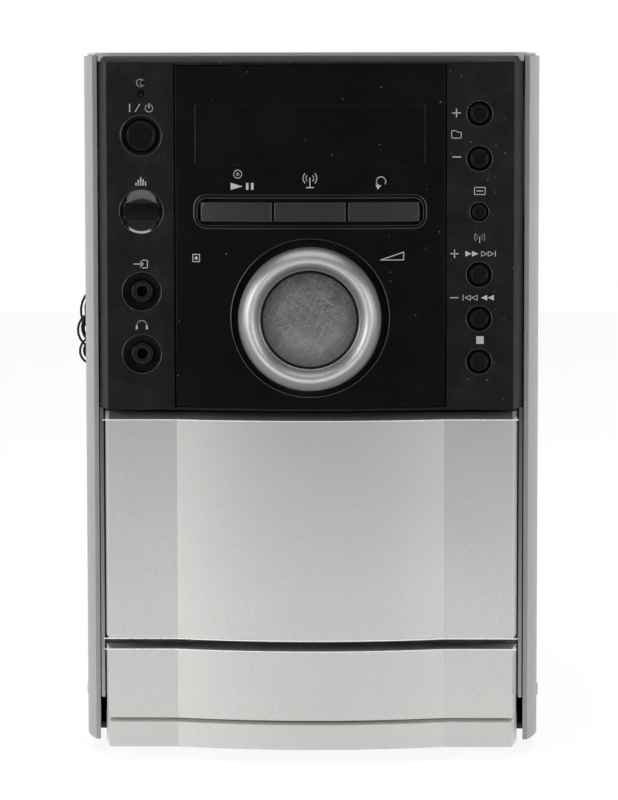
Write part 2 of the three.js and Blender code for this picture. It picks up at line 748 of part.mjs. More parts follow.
// The cassette door and the holder behind it, which swing out together
function makeDoor() {
  const outer = alongZ(blockPlan(doorFlare, 0, flareDepth), doorFoot, doorTop)
    .add(leaningTop(doorFlare, flareDepth, doorTop, doorTop + doorTopRise, doorTopRun));
  const inside = alongZ(blockPlan(doorFlare, shellWall, flareDepth + overrun), doorFoot + shellWall,
    doorTop - doorTopRise / 2);
  const floorCut = box(shellWall - frontHalf, frontHalf - shellWall, frontY + doorFootDepth,
    frontY + flareDepth + overrun, doorFoot - overrun, doorFoot + shellWall + overrun);
  const lugs = [-1, 1].flatMap((side) => mirrored((half) => centredBox(
    side * doorEarX + half * (shellWall + play), shellWall / 2, frontY + shellWall / 2,
    doorHingeY + doorPinRadius + shellWall / 2, doorHingeZ, doorPinRadius + shellWall / 2)));
  const bores = mirrored((side) => roundX(doorHingeY, doorHingeZ, side * doorEarX - 2 * shellWall - overrun,
    side * doorEarX + 2 * shellWall + overrun, doorPinRadius + fit));
  piece('cassette_door', cutBy(joined([cutBy(outer, [inside, floorCut]), ...lugs]), bores), 'silver');

  const half = cassetteWidth / 2 + fit;
  const front = frontY + shellWall + fit;
  const pocket = front + holderWall + fit;
  const back = pocket + cassetteThick + fit;
  const foot = cassetteFoot - fit;
  const top = cassetteFoot + cassetteHeight * holderCoverShare;
  const face = box(-half - holderWall, half + holderWall, front, front + holderWall, foot - holderWall, top);
  const sight = alongY(rounded(0, reelZ, reelHalfPitch + reelRadius, sightHalfHeight, reelRadius / 2),
    front - overrun, front + holderWall + overrun);
  const rails = mirrored((side) => centredBox(side * (half + holderWall / 2), holderWall / 2, front,
    back + holderWall, (foot - holderWall + top) / 2, (top - foot + holderWall) / 2));
  const lips = mirrored((side) => centredBox(side * (half + holderWall - holderLip / 8), holderLip / 8, back,
    back + holderWall, (foot - holderWall + top) / 2, (top - foot + holderWall) / 2));
  const shelves = mirrored((side) => centredBox(side * (half - holderLip / 2), holderLip / 2 + holderWall / 2,
    front, back + holderWall, foot - holderWall / 2, holderWall / 2));
  piece('cassette_holder', joined([face.subtract(sight), ...rails, ...lips, ...shelves]), 'matteBlack');
}

// The deck plate, with two cheeks at the back that carry the shaft of the keys
function makeDeckFrame() {
  const foot = deckOpenFoot - overrun;
  const top = deckOpenTop + overrun / 2;
  const plate = box(-deckHalf, deckHalf, deckFrontY, deckBackY, foot, top);
  const holes = [
    ...mirrored((side) => roundY(side * reelHalfPitch, reelZ, innerBack, deckBackY + overrun,
      spindleRadius + fit, 16)),
    roundY(capstanX, capstanZ, innerBack, deckBackY + overrun, capstanRadius + play, 12),
  ];
  const cheeks = mirrored((side) => centredBox(side * (deckHalf - sheetWall / 2), sheetWall / 2, deckFrontY,
    keyShaftY + 2 * keyShaftRadius, (keyFoot + reelZ) / 2, (reelZ - keyFoot) / 2));
  const shaft = roundX(keyShaftY, keyShaftZ, -deckHalf, deckHalf, keyShaftRadius, 16);
  const post = roundY(capstanX + rollerArm, rollerPivotZ(), holderBackY() + play, deckBackY, stemRadius, 12);
  piece('tape_deck_frame', joined([cutBy(plate, holes), ...cheeks, shaft, post]), 'steel');
}

function holderBackY() {
  return frontY + shellWall + 3 * fit + 2 * holderWall + cassetteThick;
}

function rollerPivotZ() {
  return capstanZ - capstanRadius - rollerRadius - headTravel / 2;
}

function makeDeckParts() {
  const hubBack = backPlateY - fit;
  const hubFront = holderBackY() + play;
  const shoulder = hubFront - cassetteThick * spindleShoulderShare;
  for (const [name, side] of [['left_reel', -1], ['right_reel', 1]]) {
    const x = side * reelHalfPitch;
    const disc = roundY(x, reelZ, hubFront, hubFront + hubThick, reelRadius, 20);
    const spindle = roundY(x, reelZ, shoulder, hubFront + fit, spindleRadius, 14);
    const tip = roundY(x, reelZ, hubFront - cassetteThick, shoulder, spindleRadius / 2, 14, spindleRadius);
    const shaft = roundY(x, reelZ, hubFront, deckBackY, spindleRadius, 14);
    const fins = Array.from({ length: finsPerSpindle }, (unused, i) => {
      const fin = boxGeometry(-spindleFin / 2, spindleFin / 2, hubFront - cassetteThick * finLengthShare,
        hubFront + fit, 0, spindleRadius + spindleFin);
      return solidOf(fin.rotateY(i * 2 * Math.PI / finsPerSpindle).translate(x, 0, reelZ));
    });
    piece(name, joined([disc, spindle, tip, shaft, ...fins]), 'white');
  }
  const flywheelFront = deckBackY + play;
  const wheel = roundY(capstanX, capstanZ, flywheelFront, flywheelFront + flywheelThick, flywheelRadius, 28);
  const capstanShaft = roundY(capstanX, capstanZ, hubFront - cassetteThick, flywheelFront + fit,
    capstanRadius, 12);
  piece('capstan_flywheel', wheel.add(capstanShaft), 'steel');

  const carriageBack = deckFrontY - fit;
  const carriageFoot = deckOpenFoot + 2 * fit + play;
  const plate = box(-carriageHalf, carriageHalf, carriageBack - sheetWall, carriageBack, carriageFoot,
    carriageFoot + carriageHeight);
  const headBack = carriageBack - sheetWall + fit;
  const head = box(-headWidth / 2, headWidth / 2, headBack - headReach, headBack, carriageFoot,
    carriageFoot + headHeight);
  const eraseHead = centredBox(eraseHeadX, headWidth / 4, headBack - headReach, headBack,
    carriageFoot + headHeight / 2, headHeight / 2);
  piece('head_carriage', joined([plate, head, eraseHead]), 'steel');

  const pivotZ = rollerPivotZ();
  const rollerZ = pivotZ - headTravel / 2;
  const armFront = hubFront + fit;
  const arm = solidOf(boxGeometry(0, rollerArm, armFront, armFront + sheetWall, -stemRadius, stemRadius)
    .rotateY(-Math.atan2(pivotZ - rollerZ, rollerArm)).translate(capstanX, 0, rollerZ));
  const eye = roundY(capstanX + rollerArm, pivotZ, armFront, armFront + sheetWall, 2 * stemRadius, 16);
  const roller = roundY(capstanX, rollerZ, armFront - play - rollerThick, armFront - play, rollerRadius, 20);
  const axle = roundY(capstanX, rollerZ, armFront - play - fit, armFront + sheetWall, stemRadius, 12);
  const bore = roundY(capstanX + rollerArm, pivotZ, armFront - overrun, armFront + overrun + sheetWall,
    stemRadius + fit, 12);
  piece('pinch_roller', joined([arm, eye, roller, axle]).subtract(bore), 'rubber');

  const motorBack = deckBackY + fit + motorLength;
  piece('tape_motor', roundY(-capstanX, capstanZ, deckBackY + fit, motorBack, motorRadius, 24), 'steel');
}

const keyNames = ['record_key', 'play_key', 'rewind_key', 'fast_forward_key', 'stop_eject_key', 'pause_key'];

function makeKeys() {
  keyNames.forEach((name, i) => {
    const x = (i - (keyCount - 1) / 2) * keyPitch;
    const half = (keyPitch - keyGap) / 2;
    const front = frontY + keySetback;
    const cap = alongX(outline([
      [front + keyHeight / 6, keyFoot], [front + keyDepth, keyFoot], [front + keyDepth, keyFoot + keyHeight],
      [front + keyHeight / 3, keyFoot + keyHeight], [front, keyFoot + keyHeight - keyChamfer],
    ]), x - half, x + half);
    const lever = centredBox(x, keyLever / 2, front + keyDepth - fit, keyShaftY, keyShaftZ, keyLever / 2);
    const hub = roundX(keyShaftY, keyShaftZ, x - half, x + half, 2 * keyShaftRadius, 18);
    const bore = roundX(keyShaftY, keyShaftZ, x - keyPitch, x + keyPitch, keyShaftRadius + fit, 16);
    piece(name, joined([cap, lever, hub]).subtract(bore), 'darkGrey');
  });
}

// The side panels flare out to the full width in a curve that starts at their front edge.
const sideFront = frontY + flareDepth;
const sideFull = sideFront + sideFlareDepth;
const sideSteps = 5;

function sideX(y, inset) {
  const t = Math.min(1, Math.max(0, (y - sideFront) / sideFlareDepth));
  return sideHalf - inset - sideFlare * (1 - t) ** 2;
}

function sideLine(inset, back) {
  const places = Array.from({ length: sideSteps + 1 }, (unused, i) => {
    return sideFront + sideFlareDepth * i / sideSteps;
  });
  return [...places, back].map((y) => [sideX(y, inset), y]);
}

// A side panel, with a screw low on its side near each end
function makeSides() {
  for (const [name, side] of [['left_side_panel', -1], ['right_side_panel', 1]]) {
    const outer = sideLine(0, rearY).map(([x, y]) => [side * x, y]);
    const inner = sideLine(sideWall, rearY).map(([x, y]) => [side * x, y]).reverse();
    const wall = alongZ(outline([...outer, ...inner]), footHeight, sideTop);
    const [x0, x1] = [side * (sideHalf - fit), side * (sideHalf + sideScrewHeight)].sort((a, b) => a - b);
    const screws = [sideFull + sideScrewRadius, rearY - trayRim].map((y) => {
      return roundX(y, footHeight + trayRim, x0, x1, sideScrewRadius, 14);
    });
    piece(name, joined([wall, ...screws]), 'silver');
  }
}

const trayFront = frontY + flareDepth + sideFlareDepth + fit;
const trayHalf = sideHalf - sideWall - fit;
const lidFront = innerBack + shellWall + 3 * fit;
const discY = lidFront + lidHalf;
const lidBack = discY + lidHalf + lidRear;
const lidHingeY = lidBack - lidRear;
const lidHingeZ = bodyHeight - shellWall - lidRim / 2;
const ledgeTop = bodyHeight - ledgeDrop;
const wellFloorTop = bodyHeight - wellDrop;
const wellRadius = discRadius + discRoom;
const slotHalf = pickupHalf + fit + play;
const hingeSweep = Math.hypot(lidRear, bodyHeight - lidHingeZ) + play;

function lidOutline(grow) {
  const shape = new THREE.Shape();
  const r = lidHalf + grow;
  const back = lidBack + grow + (grow > 0 ? hingeSweep - lidRear : 0);
  shape.moveTo(-r, back);
  shape.lineTo(-r, discY);
  shape.absarc(0, discY, r, Math.PI, 2 * Math.PI, false);
  shape.lineTo(r, back);
  return shape;
}

function fineAlongZ(shape, z0, z1) {
  const geometry = new THREE.ExtrudeGeometry(shape, {
    depth: z1 - z0, bevelEnabled: false, curveSegments: 16,
  });
  return solidOf(geometry.translate(0, 0, z0));
}

// The top cover is one moulding with the well that the disc lies in
function makeTopCover() {
  const front = frontY + coverSetback;
  const top = bodyHeight;
  const plan = (inset) => {
    const line = sideLine(inset, rearY);
    const half = [[line[0][0], front], ...line];
    return outline([...half, ...half.map(([x, y]) => [-x, y]).reverse()]);
  };
  const plate = alongZ(plan(sideWall + play), coverFoot - shellWall / 2, top);
  const lip = alongZ(plan(sideWall + play - coverOverhang), top - coverLip, top);
  const tub = fineAlongZ(lidOutline(fit + shellWall), ledgeTop - shellWall, coverFoot);
  const bowl = roundZ(0, discY, wellFloorTop - shellWall, ledgeTop, wellRadius + shellWall, 32);
  const slotBack = discY - pickupInner + pickupHalf + play;
  const slotFront = discY - pickupInner - pickupTravel - pickupHalf - play;
  const cuts = [
    fineAlongZ(lidOutline(fit), ledgeTop, top + overrun),
    roundZ(0, discY, wellFloorTop, top, wellRadius, 32),
    roundZ(0, discY, wellFloorTop - shellWall - overrun, top, turntableRadius + play, 24),
    box(-slotHalf, slotHalf, slotFront, slotBack, wellFloorTop - shellWall - overrun, wellFloorTop + overrun),
    roundX(lidHingeY, lidHingeZ, -lidHalf - shellWall - play, lidHalf + shellWall + play, lidPinRadius + fit),
  ];
  const ventCount = Math.floor((2 * blockHalf - trayRim * 2) / ventPitch);
  const ventBack = rearY - trayRim / 2;
  const ventFront = Math.max(ventBack - ventLength, lidBack + hingeSweep + trayRim / 2);
  for (let i = 0; i < ventCount; i += 1) {
    const x = (i - (ventCount - 1) / 2) * ventPitch;
    cuts.push(box(x - ventWidth / 2, x + ventWidth / 2, ventFront, ventBack, coverFoot - overrun,
      top + overrun));
  }
  const wallBack = rearY - shellWall - fit;
  const skirtWall = cutBy(box(-blockHalf, blockHalf, innerBack + fit, wallBack, ledgeTop, coverFoot), [
    box(-blockHalf + shellWall, blockHalf - shellWall, innerBack + fit + shellWall, wallBack - shellWall,
      ledgeTop - overrun, coverFoot + overrun),
  ]);
  const bosses = [-1, 1].flatMap((side) => mirrored((way) => roundZ(side * mechanismHalfX * bossShare,
    discY + way * mechanismHalfX * bossShare, wellFloorTop - shellWall - postRadius, wellFloorTop,
    postRadius, 12)));
  const whole = joined([plate, lip, tub, bowl, skirtWall, ...bosses]);
  piece('top_cover', cutBy(whole, cuts), 'silver');
}

// The lid over the disc, hinged at its back
function makeLid() {
  const top = fineAlongZ(lidOutline(0), bodyHeight - shellWall, bodyHeight);
  const rim = fineAlongZ(lidOutline(0), bodyHeight - shellWall - lidRim, bodyHeight - shellWall / 2)
    .subtract(fineAlongZ(lidOutline(-shellWall), bodyHeight - shellWall - lidRim - overrun,
      bodyHeight - shellWall));
  const pins = mirrored((side) => roundX(lidHingeY, lidHingeZ, side * lidHalf - shellWall,
    side * lidHalf + shellWall, lidPinRadius));
  piece('disc_lid', joined([top, rim, ...pins]), 'silver');
}

// The disc drive hangs under the well: a deck with a motor, two guide rods and the pickup sled
function makeDrive() {
  const top = wellFloorTop - shellWall - postRadius - fit;
  const foot = top - mechanismDepth;
  const reach = mechanismHalfX;
  const slotBack = discY - pickupInner + pickupHalf + play;
  const slotFront = discY - pickupInner - pickupTravel - pickupHalf - play;
  const plate = box(-reach, reach, discY - reach - trayRim, discY + reach, foot, foot + sheetWall);
  const rim = cutBy(box(-reach, reach, discY - reach - trayRim, discY + reach, foot, top), [
    box(-reach + sheetWall, reach - sheetWall, discY - reach - trayRim + sheetWall, discY + reach - sheetWall,
      foot - overrun, top + overrun),
  ]);
  const motor = roundZ(0, discY, foot, top, turntableRadius - postRadius, 20);
  const rods = mirrored((side) => roundY(side * (pickupHalf + 2 * postRadius), (foot + top) / 2,
    discY - reach - trayRim + sheetWall / 2, discY + reach - sheetWall / 2, stemRadius, 12));
  const bore = roundZ(0, discY, foot - overrun, top + overrun, shaftRadius / 2 + fit, 12);
  const tabs = [-1, 1].flatMap((side) => mirrored((way) => roundZ(side * reach * bossShare,
    discY + way * reach * bossShare,
    foot, top, postRadius, 12)));
  const hole = box(-slotHalf, slotHalf, slotFront, slotBack, foot - overrun, foot + sheetWall + overrun);
  piece('disc_drive', cutBy(joined([plate, rim, motor, ...rods, ...tabs]), [bore, hole]), 'steel');

  const platter = roundZ(0, discY, wellFloorTop + fit, wellFloorTop + turntableRise, turntableRadius, 28);
  const hub = roundZ(0, discY, wellFloorTop + turntableRise - fit, wellFloorTop + 2 * turntableRise,
    hubRadius, 24, hubTopRadius);
  const spindle = roundZ(0, discY, foot + fit, wellFloorTop + fit + fit, shaftRadius / 2, 12);
  const collar = roundZ(0, discY, top + fit, wellFloorTop + fit + fit, shaftRadius, 12);
  piece('disc_turntable', joined([platter, hub, spindle, collar]), 'matteBlack');

  const sledY = discY - pickupInner;
  const rodX = pickupHalf + 2 * postRadius;
  const rodZ = (foot + top) / 2;
  const sled = centredBox(0, rodX + postRadius, sledY - pickupHalf, sledY + pickupHalf, rodZ, postRadius);
  const towerTop = wellFloorTop - fit;
  const tower = box(-pickupHalf, pickupHalf, sledY - pickupHalf, sledY + pickupHalf, rodZ, towerTop);
  const lens = roundZ(0, sledY, towerTop - fit, wellFloorTop + turntableRise / 2, lensTowerRadius, 20);
  const rodBores = mirrored((side) => roundY(side * rodX, rodZ, sledY - 2 * pickupHalf,
    sledY + 2 * pickupHalf, stemRadius + fit, 12));
  piece('pickup_sled', cutBy(joined([sled, tower, lens]), rodBores), 'steel');
}

// The tray at the bottom with its vents, its rim, and the posts that carry the circuit board
function makeTray() {
  const floorTop = footHeight + shellWall;
  const back = rearY - shellWall - fit;
  const floor = box(-trayHalf, trayHalf, trayFront, back, footHeight, floorTop);
  const rims = mirrored((side) => {
    const [x0, x1] = [side * trayHalf, side * (trayHalf - shellWall)].sort((a, b) => a - b);
    return box(x0, x1, trayFront, back, footHeight, footHeight + trayRim);
  });
  const backRim = box(-trayHalf, trayHalf, back - shellWall, back, footHeight, footHeight + trayRim);
  const posts = boardPosts().map(([x, y]) => roundZ(x, y, floorTop - fit, footHeight + boardRise - fit,
    postRadius, 12));
  const tongue = box(-frontHalf + trayRim, frontHalf - trayRim, innerBack + fit, trayFront + overrun,
    footHeight, floorTop);
  const vents = Array.from({ length: floorVents }, (unused, i) => {
    const x = (i - (floorVents - 1) / 2) * ventPitch;
    return box(x - ventWidth / 2, x + ventWidth / 2, -ventLength / 2, ventLength / 2, footHeight - overrun,
      floorTop + overrun);
  });
  piece('base_tray', joined([cutBy(joined([floor, tongue]), vents), ...rims, backRim, ...posts]), 'darkGrey');
  const names = ['front_left_foot', 'front_right_foot', 'rear_left_foot', 'rear_right_foot'];
  names.forEach((name, i) => {
    const x = (i % 2 ? 1 : -1) * (trayHalf - 2 * footRadius);
    const y = i < 2 ? frontY + footInset + 2 * footRadius : rearY - footInset;
    const foot = roundZ(x, y, 0, footHeight, footRadius, 20, footRadius - fit)
      .subtract(roundZ(x, y, -overrun, footHeight / 4, footRadius / 2, 12));
    piece(name, foot, 'rubber');
  });
}

const mainBoardLeft = -trayHalf + shellWall + play;
const mainBoardRight = trayHalf - 2 * shellWall - transformerWidth - trayRim;
const mainBoardFront = keyShaftY + 4 * keyShaftRadius;
const mainBoardBack = rearY - shellWall - trayRim;

function boardPosts() {
  const inset = 2 * postRadius;
  return [
    [mainBoardLeft + inset, mainBoardFront + inset], [mainBoardRight - inset, mainBoardFront + inset],
    [mainBoardLeft + inset, mainBoardBack - inset], [mainBoardRight - inset, mainBoardBack - inset],
  ];
}

// The main board carries the amplifier's heatsink and two large capacitors
function makeElectronics() {
  const foot = footHeight + boardRise;
  const board = box(mainBoardLeft, mainBoardRight, mainBoardFront, mainBoardBack, foot, foot + boardWall);
  const capX = (mainBoardLeft + mainBoardRight) / 2;
  const cans = mirrored((side) => roundZ(capX + side * canHalfPitch, (mainBoardFront + mainBoardBack) / 2,
    foot + boardWall - fit, foot + heatsinkHeight, footRadius, 20));
  piece('main_circuit_board', joined([board, ...cans]), 'board');
  const sinkFoot = foot + boardWall + fit;
  const sinkBack = mainBoardBack - postRadius;
  const spine = box(capX - heatsinkWidth / 2, capX + heatsinkWidth / 2, sinkBack - 2 * finThick, sinkBack,
    sinkFoot, sinkFoot + heatsinkHeight);
  const fins = Array.from({ length: finCount }, (unused, i) => {
    const x = capX - heatsinkWidth / 2 + finThick / 2 + i * (heatsinkWidth - finThick) / (finCount - 1);
    return box(x - finThick / 2, x + finThick / 2, sinkBack - finLength, sinkBack - finThick, sinkFoot,
      sinkFoot + heatsinkHeight);
  });
  piece('amplifier_heatsink', joined([spine, ...fins]), 'steel');
  const tx = trayHalf - 2 * shellWall - transformerWidth / 2;
  const ty = mainBoardBack - transformerDepth / 2;
  const floorTop = footHeight + shellWall + fit;
  const core = centredBox(tx, transformerWidth / 2, ty - transformerDepth / 2 + windingThick,
    ty + transformerDepth / 2 - windingThick, floorTop + transformerHeight / 2, transformerHeight / 2);
  const coil = centredBox(tx, transformerWidth / 3, ty - transformerDepth / 2, ty + transformerDepth / 2,
    floorTop + transformerHeight / 2, transformerHeight / 3);
  piece('power_transformer', core.add(coil), 'copper');
}

const antennaX = -trayHalf + antennaBlockWidth / 2 + trayRim / 2;
const antennaZ = bodyHeight * antennaShare;
const clipsX = antennaX + antennaBlockWidth / 4;
const clipsZ = bodyHeight * clipsShare;
const glandX = trayHalf - glandInset;
const glandZ = footHeight + glandRise;

// The rear panel with its vents, its terminals and the gland for the mains cord
function makeRear() {
  const inner = rearY - shellWall;
  const foot = footHeight;
  const top = coverFoot - shellWall;
  const cuts = [
    centredBox(antennaX, antennaBlockWidth / 2 - overrun / 2, inner - overrun, rearY + overrun, antennaZ,
      antennaBlockHeight / 2 - overrun / 2),
    centredBox(clipsX, clipCount * clipPitch / 2 - overrun / 2, inner - overrun, rearY + overrun, clipsZ,
      clipBlockHeight / 2 - overrun / 2),
    roundY(glandX, glandZ, inner - overrun, rearY + overrun, glandRadius + fit, 20),
  ];
  const ventCount = Math.floor(trayHalf / ventPitch);
  for (let i = 0; i < ventCount; i += 1) {
    const x = (i - (ventCount - 1) / 2) * ventPitch + sideHalf / 4;
    cuts.push(centredBox(x, ventWidth / 2, inner - overrun, rearY + overrun, top - ventLength,
      ventLength / 2));
  }
  piece('rear_panel', cutBy(box(-trayHalf, trayHalf, inner, rearY, foot, top), cuts), 'matteBlack');

  // Each block is let into the panel from inside, and its flange bears on the panel's back
  const block = (x, z, width, height, depth) => joined([
    centredBox(x, width / 2 - overrun / 2 - fit, inner - depth, rearY + socketProud / 2, z,
      height / 2 - overrun / 2 - fit),
    centredBox(x, width / 2, inner - depth, inner - fit, z, height / 2),
  ]);
  const jack = [antennaX - antennaBlockWidth / 4, antennaZ];
  const aerial = block(antennaX, antennaZ, antennaBlockWidth, antennaBlockHeight, clipBlockDepth)
    .add(roundY(...jack, inner, rearY + socketProud, antennaJackRadius, 20))
    .subtract(roundY(...jack, inner, rearY + 2 * socketProud, antennaPinRadius + fit, 12));
  const loopSocket = centredBox(antennaX + antennaBlockWidth / 4, clipPitch / 5, rearY - shellWall,
    rearY + overrun, antennaZ, clipPitch / 4);
  piece('antenna_terminal_block', aerial.subtract(loopSocket), 'darkGrey');
  const clipXs = Array.from({ length: clipCount }, (unused, i) => {
    return clipsX + (i - (clipCount - 1) / 2) * clipPitch;
  });
  const collars = clipXs.map((x) => roundY(x, clipsZ, inner, rearY + socketProud, clipPitch / 2 - sheetWall,
    12));
  const bores = clipXs.map((x) => roundY(x, clipsZ, rearY - clipBlockDepth / 2, rearY + 2 * socketProud,
    socketBore, 8));
  piece('speaker_terminal_block', cutBy(joined([block(clipsX, clipsZ, clipCount * clipPitch, clipBlockHeight,
    clipBlockDepth), ...collars]), bores), 'matteBlack');
  const gland = joined([
    roundY(glandX, glandZ, inner - glandLength / 2, rearY + socketProud, glandRadius, 20),
    roundY(glandX, glandZ, inner - fit - shellWall, inner - fit, glandFlangeRadius, 20),
  ]).subtract(roundY(glandX, glandZ, inner - glandLength, rearY + 2 * socketProud, glandRadius / 2, 16));
  piece('mains_cord_gland', gland, 'rubber');
}

// The aerial wire: plug, free stretch and hank. The route is in millimetres, chosen by hand.
const plugX = antennaX - antennaBlockWidth / 4;
const plugFront = rearY + socketProud + fit;
const wireExit = [plugX, plugFront + plugLength, antennaZ];
const hankCentre = [-59, 119.5, 132.9];
const leadPlaces = [
  [-57, 143, 150], [-43, 147.5, 152.5], [-27, 142, 154], [-19, 131, 153], [-23, 121.5, 149.5],
];

// One loop lies flat behind the body: two straight sides drawn together at the waist, and two round ends.
const loopPlaces = rounded(0, 0, hankHalfLength, hankEndRadius, hankEndRadius).getSpacedPoints(hankSteps);

// Three bunches of loops lie at different slants: a low and narrow one, a level one, and a high and tall one.
// The first loop of each bunch is the longest, and no loop is quite like the next.
function hankPoint(step) {
  const turn = step / hankSteps;
  const place = loopPlaces[(step + hankStartStep) % hankSteps];
  const bunch = (Math.tanh(slantSteepness * (turn - loopsPerBunch))
    + Math.tanh(slantSteepness * (turn - 2 * loopsPerBunch))) / 2;
  const slant = -hankSlant * bunch;
  const longer = 1 + longerShare * Math.cos(2 * Math.PI * (turn - 1 / 2) / loopsPerBunch);
  const taller = 1 + tallerShare * bunch + unevenShare * Math.sin(unevenTurn * turn);
  const u = place.x * longer;
  const w = place.y * taller * (1 - waistShare * Math.exp(-((u / waistHalfLength) ** 2)));
  return new THREE.Vector3(
    hankCentre[0] + u * Math.cos(slant) - w * Math.sin(slant),
    hankCentre[1] + hankPitch * turn,
    hankCentre[2] + u * Math.sin(slant) + w * Math.cos(slant));
}

// A tube through a list of points, with flat closed ends
function tube(points, radius, sides) {
  const positions = [];
  const index = [];
  const tangent = new THREE.Vector3();
  const across = new THREE.Vector3(0, 1, 0);
  const up = new THREE.Vector3();
  points.forEach((point, i) => {
    tangent.subVectors(points[Math.min(i + 1, points.length - 1)], points[Math.max(i - 1, 0)]).normalize();
    across.addScaledVector(tangent, -across.dot(tangent)).normalize();
    up.crossVectors(tangent, across);
    for (let k = 0; k < sides; k += 1) {
      const angle = 2 * Math.PI * k / sides;
      const corner = point.clone().addScaledVector(across, radius * Math.cos(angle));
      corner.addScaledVector(up, radius * Math.sin(angle));
      positions.push(corner.x, corner.y, corner.z);
    }
  });
  for (let i = 0; i + 1 < points.length; i += 1) {
    for (let k = 0; k < sides; k += 1) {
      const [a, b] = [i * sides + k, i * sides + (k + 1) % sides];
      index.push(a, b, b + sides, a, b + sides, a + sides);
    }
  }
  const last = (points.length - 1) * sides;
  for (let k = 1; k + 1 < sides; k += 1) index.push(0, k + 1, k, last, last + k, last + k + 1);
  const geometry = new THREE.BufferGeometry();
  geometry.setAttribute('position', new THREE.Float32BufferAttribute(positions, 3));
  geometry.setIndex(index);
  return solidOf(geometry);
}

function makeWire() {
  const plug = joined([
    roundY(plugX, antennaZ, plugFront, plugFront + plugBodyLength, plugRadius, 16),
    roundY(plugX, antennaZ, plugFront + plugBodyLength - fit, wireExit[1], plugRadius, 16, plugRadius / 2),
    roundY(plugX, antennaZ, rearY - shellWall / 2, plugFront + fit, antennaPinRadius, 12),
  ]);
  piece('antenna_wire_plug', plug, 'rubber');
  const loops = Array.from({ length: hankLoops * hankSteps }, (unused, i) => hankPoint(i));
  const way = loops[0].clone().sub(loops[1]).setLength(2 * wireDiameter);
  const hankStart = loops[0].clone().add(way);
  piece('antenna_wire_hank', tube([hankStart, ...loops], wireDiameter / 2, 6), 'rubber');
  reportHank(loops);

  const straight = 2 * wireDiameter;
  const first = new THREE.Vector3(...wireExit).add(new THREE.Vector3(0, fit, 0));
  const last = hankStart.clone().add(way.clone().setLength(fit));
  const route = new THREE.CatmullRomCurve3([
    first, first.clone().add(new THREE.Vector3(0, straight, 0)),
    ...leadPlaces.map((place) => new THREE.Vector3(...place)),
    last.clone().add(way.clone().setLength(straight)), last,
  ], false, 'centripetal');
  const free = Array.from({ length: leadSteps + 1 }, (unused, i) => route.getPointAt(i / leadSteps));
  piece('antenna_wire_lead', tube(free, wireDiameter / 2, 8), 'rubber');
  console.log('free stretch', route.getLength().toFixed(1), 'mm, tightest bend radius',
    tightest(free).toFixed(1));
}

// The radius of the tightest bend along a list of points
function tightest(points) {
  const bends = points.slice(1, -1).map((point, i) => {
    const before = point.clone().sub(points[i]);
    const after = points[i + 2].clone().sub(point);
    return (before.length() + after.length()) / 2 / before.angleTo(after);
  });
  return Math.min(...bends);
}

// The length of the hank and the least gap between its loops, measured on its points
function reportHank(points) {
  let least = Infinity;
  let length = 0;
  points.forEach((point, i) => {
    if (i) length += point.distanceTo(points[i - 1]);
    for (let k = i + hankSteps / 2; k < points.length; k += 1) {
      least = Math.min(least, point.distanceTo(points[k]) - wireDiameter);
    }
  });
  console.log('hank length', length.toFixed(0), 'mm, least gap', least.toFixed(2), 'mm, tightest bend radius',
    tightest(points).toFixed(1));
}

makeFascia();
makeWindowPanel();
makeButtons();
makeSockets();
makeDisplayAndBoard();
makeKnob();
makeLowerFrame();
makeFlap();
makeDoor();
makeDeckFrame();
makeDeckParts();
makeKeys();
makeSides();
makeTopCover();
makeLid();
makeDrive();
makeTray();
makeElectronics();
makeRear();
makeWire();

export default pieces;
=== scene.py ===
"""The looks of a micro hi-fi system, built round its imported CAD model. Lengths are in metres."""
import json
import math

import bmesh
import bpy
from mathutils import Matrix, Vector
from mathutils.geometry import interpolate_bezier


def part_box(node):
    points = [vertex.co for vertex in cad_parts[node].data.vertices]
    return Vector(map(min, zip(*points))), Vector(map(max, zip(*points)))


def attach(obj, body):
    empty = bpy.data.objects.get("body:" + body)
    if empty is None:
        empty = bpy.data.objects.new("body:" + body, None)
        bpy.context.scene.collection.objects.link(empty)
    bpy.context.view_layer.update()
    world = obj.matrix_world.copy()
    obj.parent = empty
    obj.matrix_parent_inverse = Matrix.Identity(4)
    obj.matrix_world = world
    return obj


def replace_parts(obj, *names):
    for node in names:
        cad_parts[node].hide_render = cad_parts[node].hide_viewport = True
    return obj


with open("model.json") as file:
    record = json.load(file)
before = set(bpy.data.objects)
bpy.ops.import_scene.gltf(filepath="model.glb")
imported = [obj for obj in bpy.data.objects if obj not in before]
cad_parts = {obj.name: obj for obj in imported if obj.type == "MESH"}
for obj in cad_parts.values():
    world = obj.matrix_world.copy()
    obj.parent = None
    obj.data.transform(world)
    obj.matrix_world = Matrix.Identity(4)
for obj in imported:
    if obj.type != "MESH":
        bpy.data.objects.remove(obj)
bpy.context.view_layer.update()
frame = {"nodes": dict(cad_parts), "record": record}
nodes = frame["nodes"]
body_of = {n: b for b, members in frame["record"]["behaviour"]["bodies"].items() for n in members}
scene = bpy.context.scene
MM = 0.001

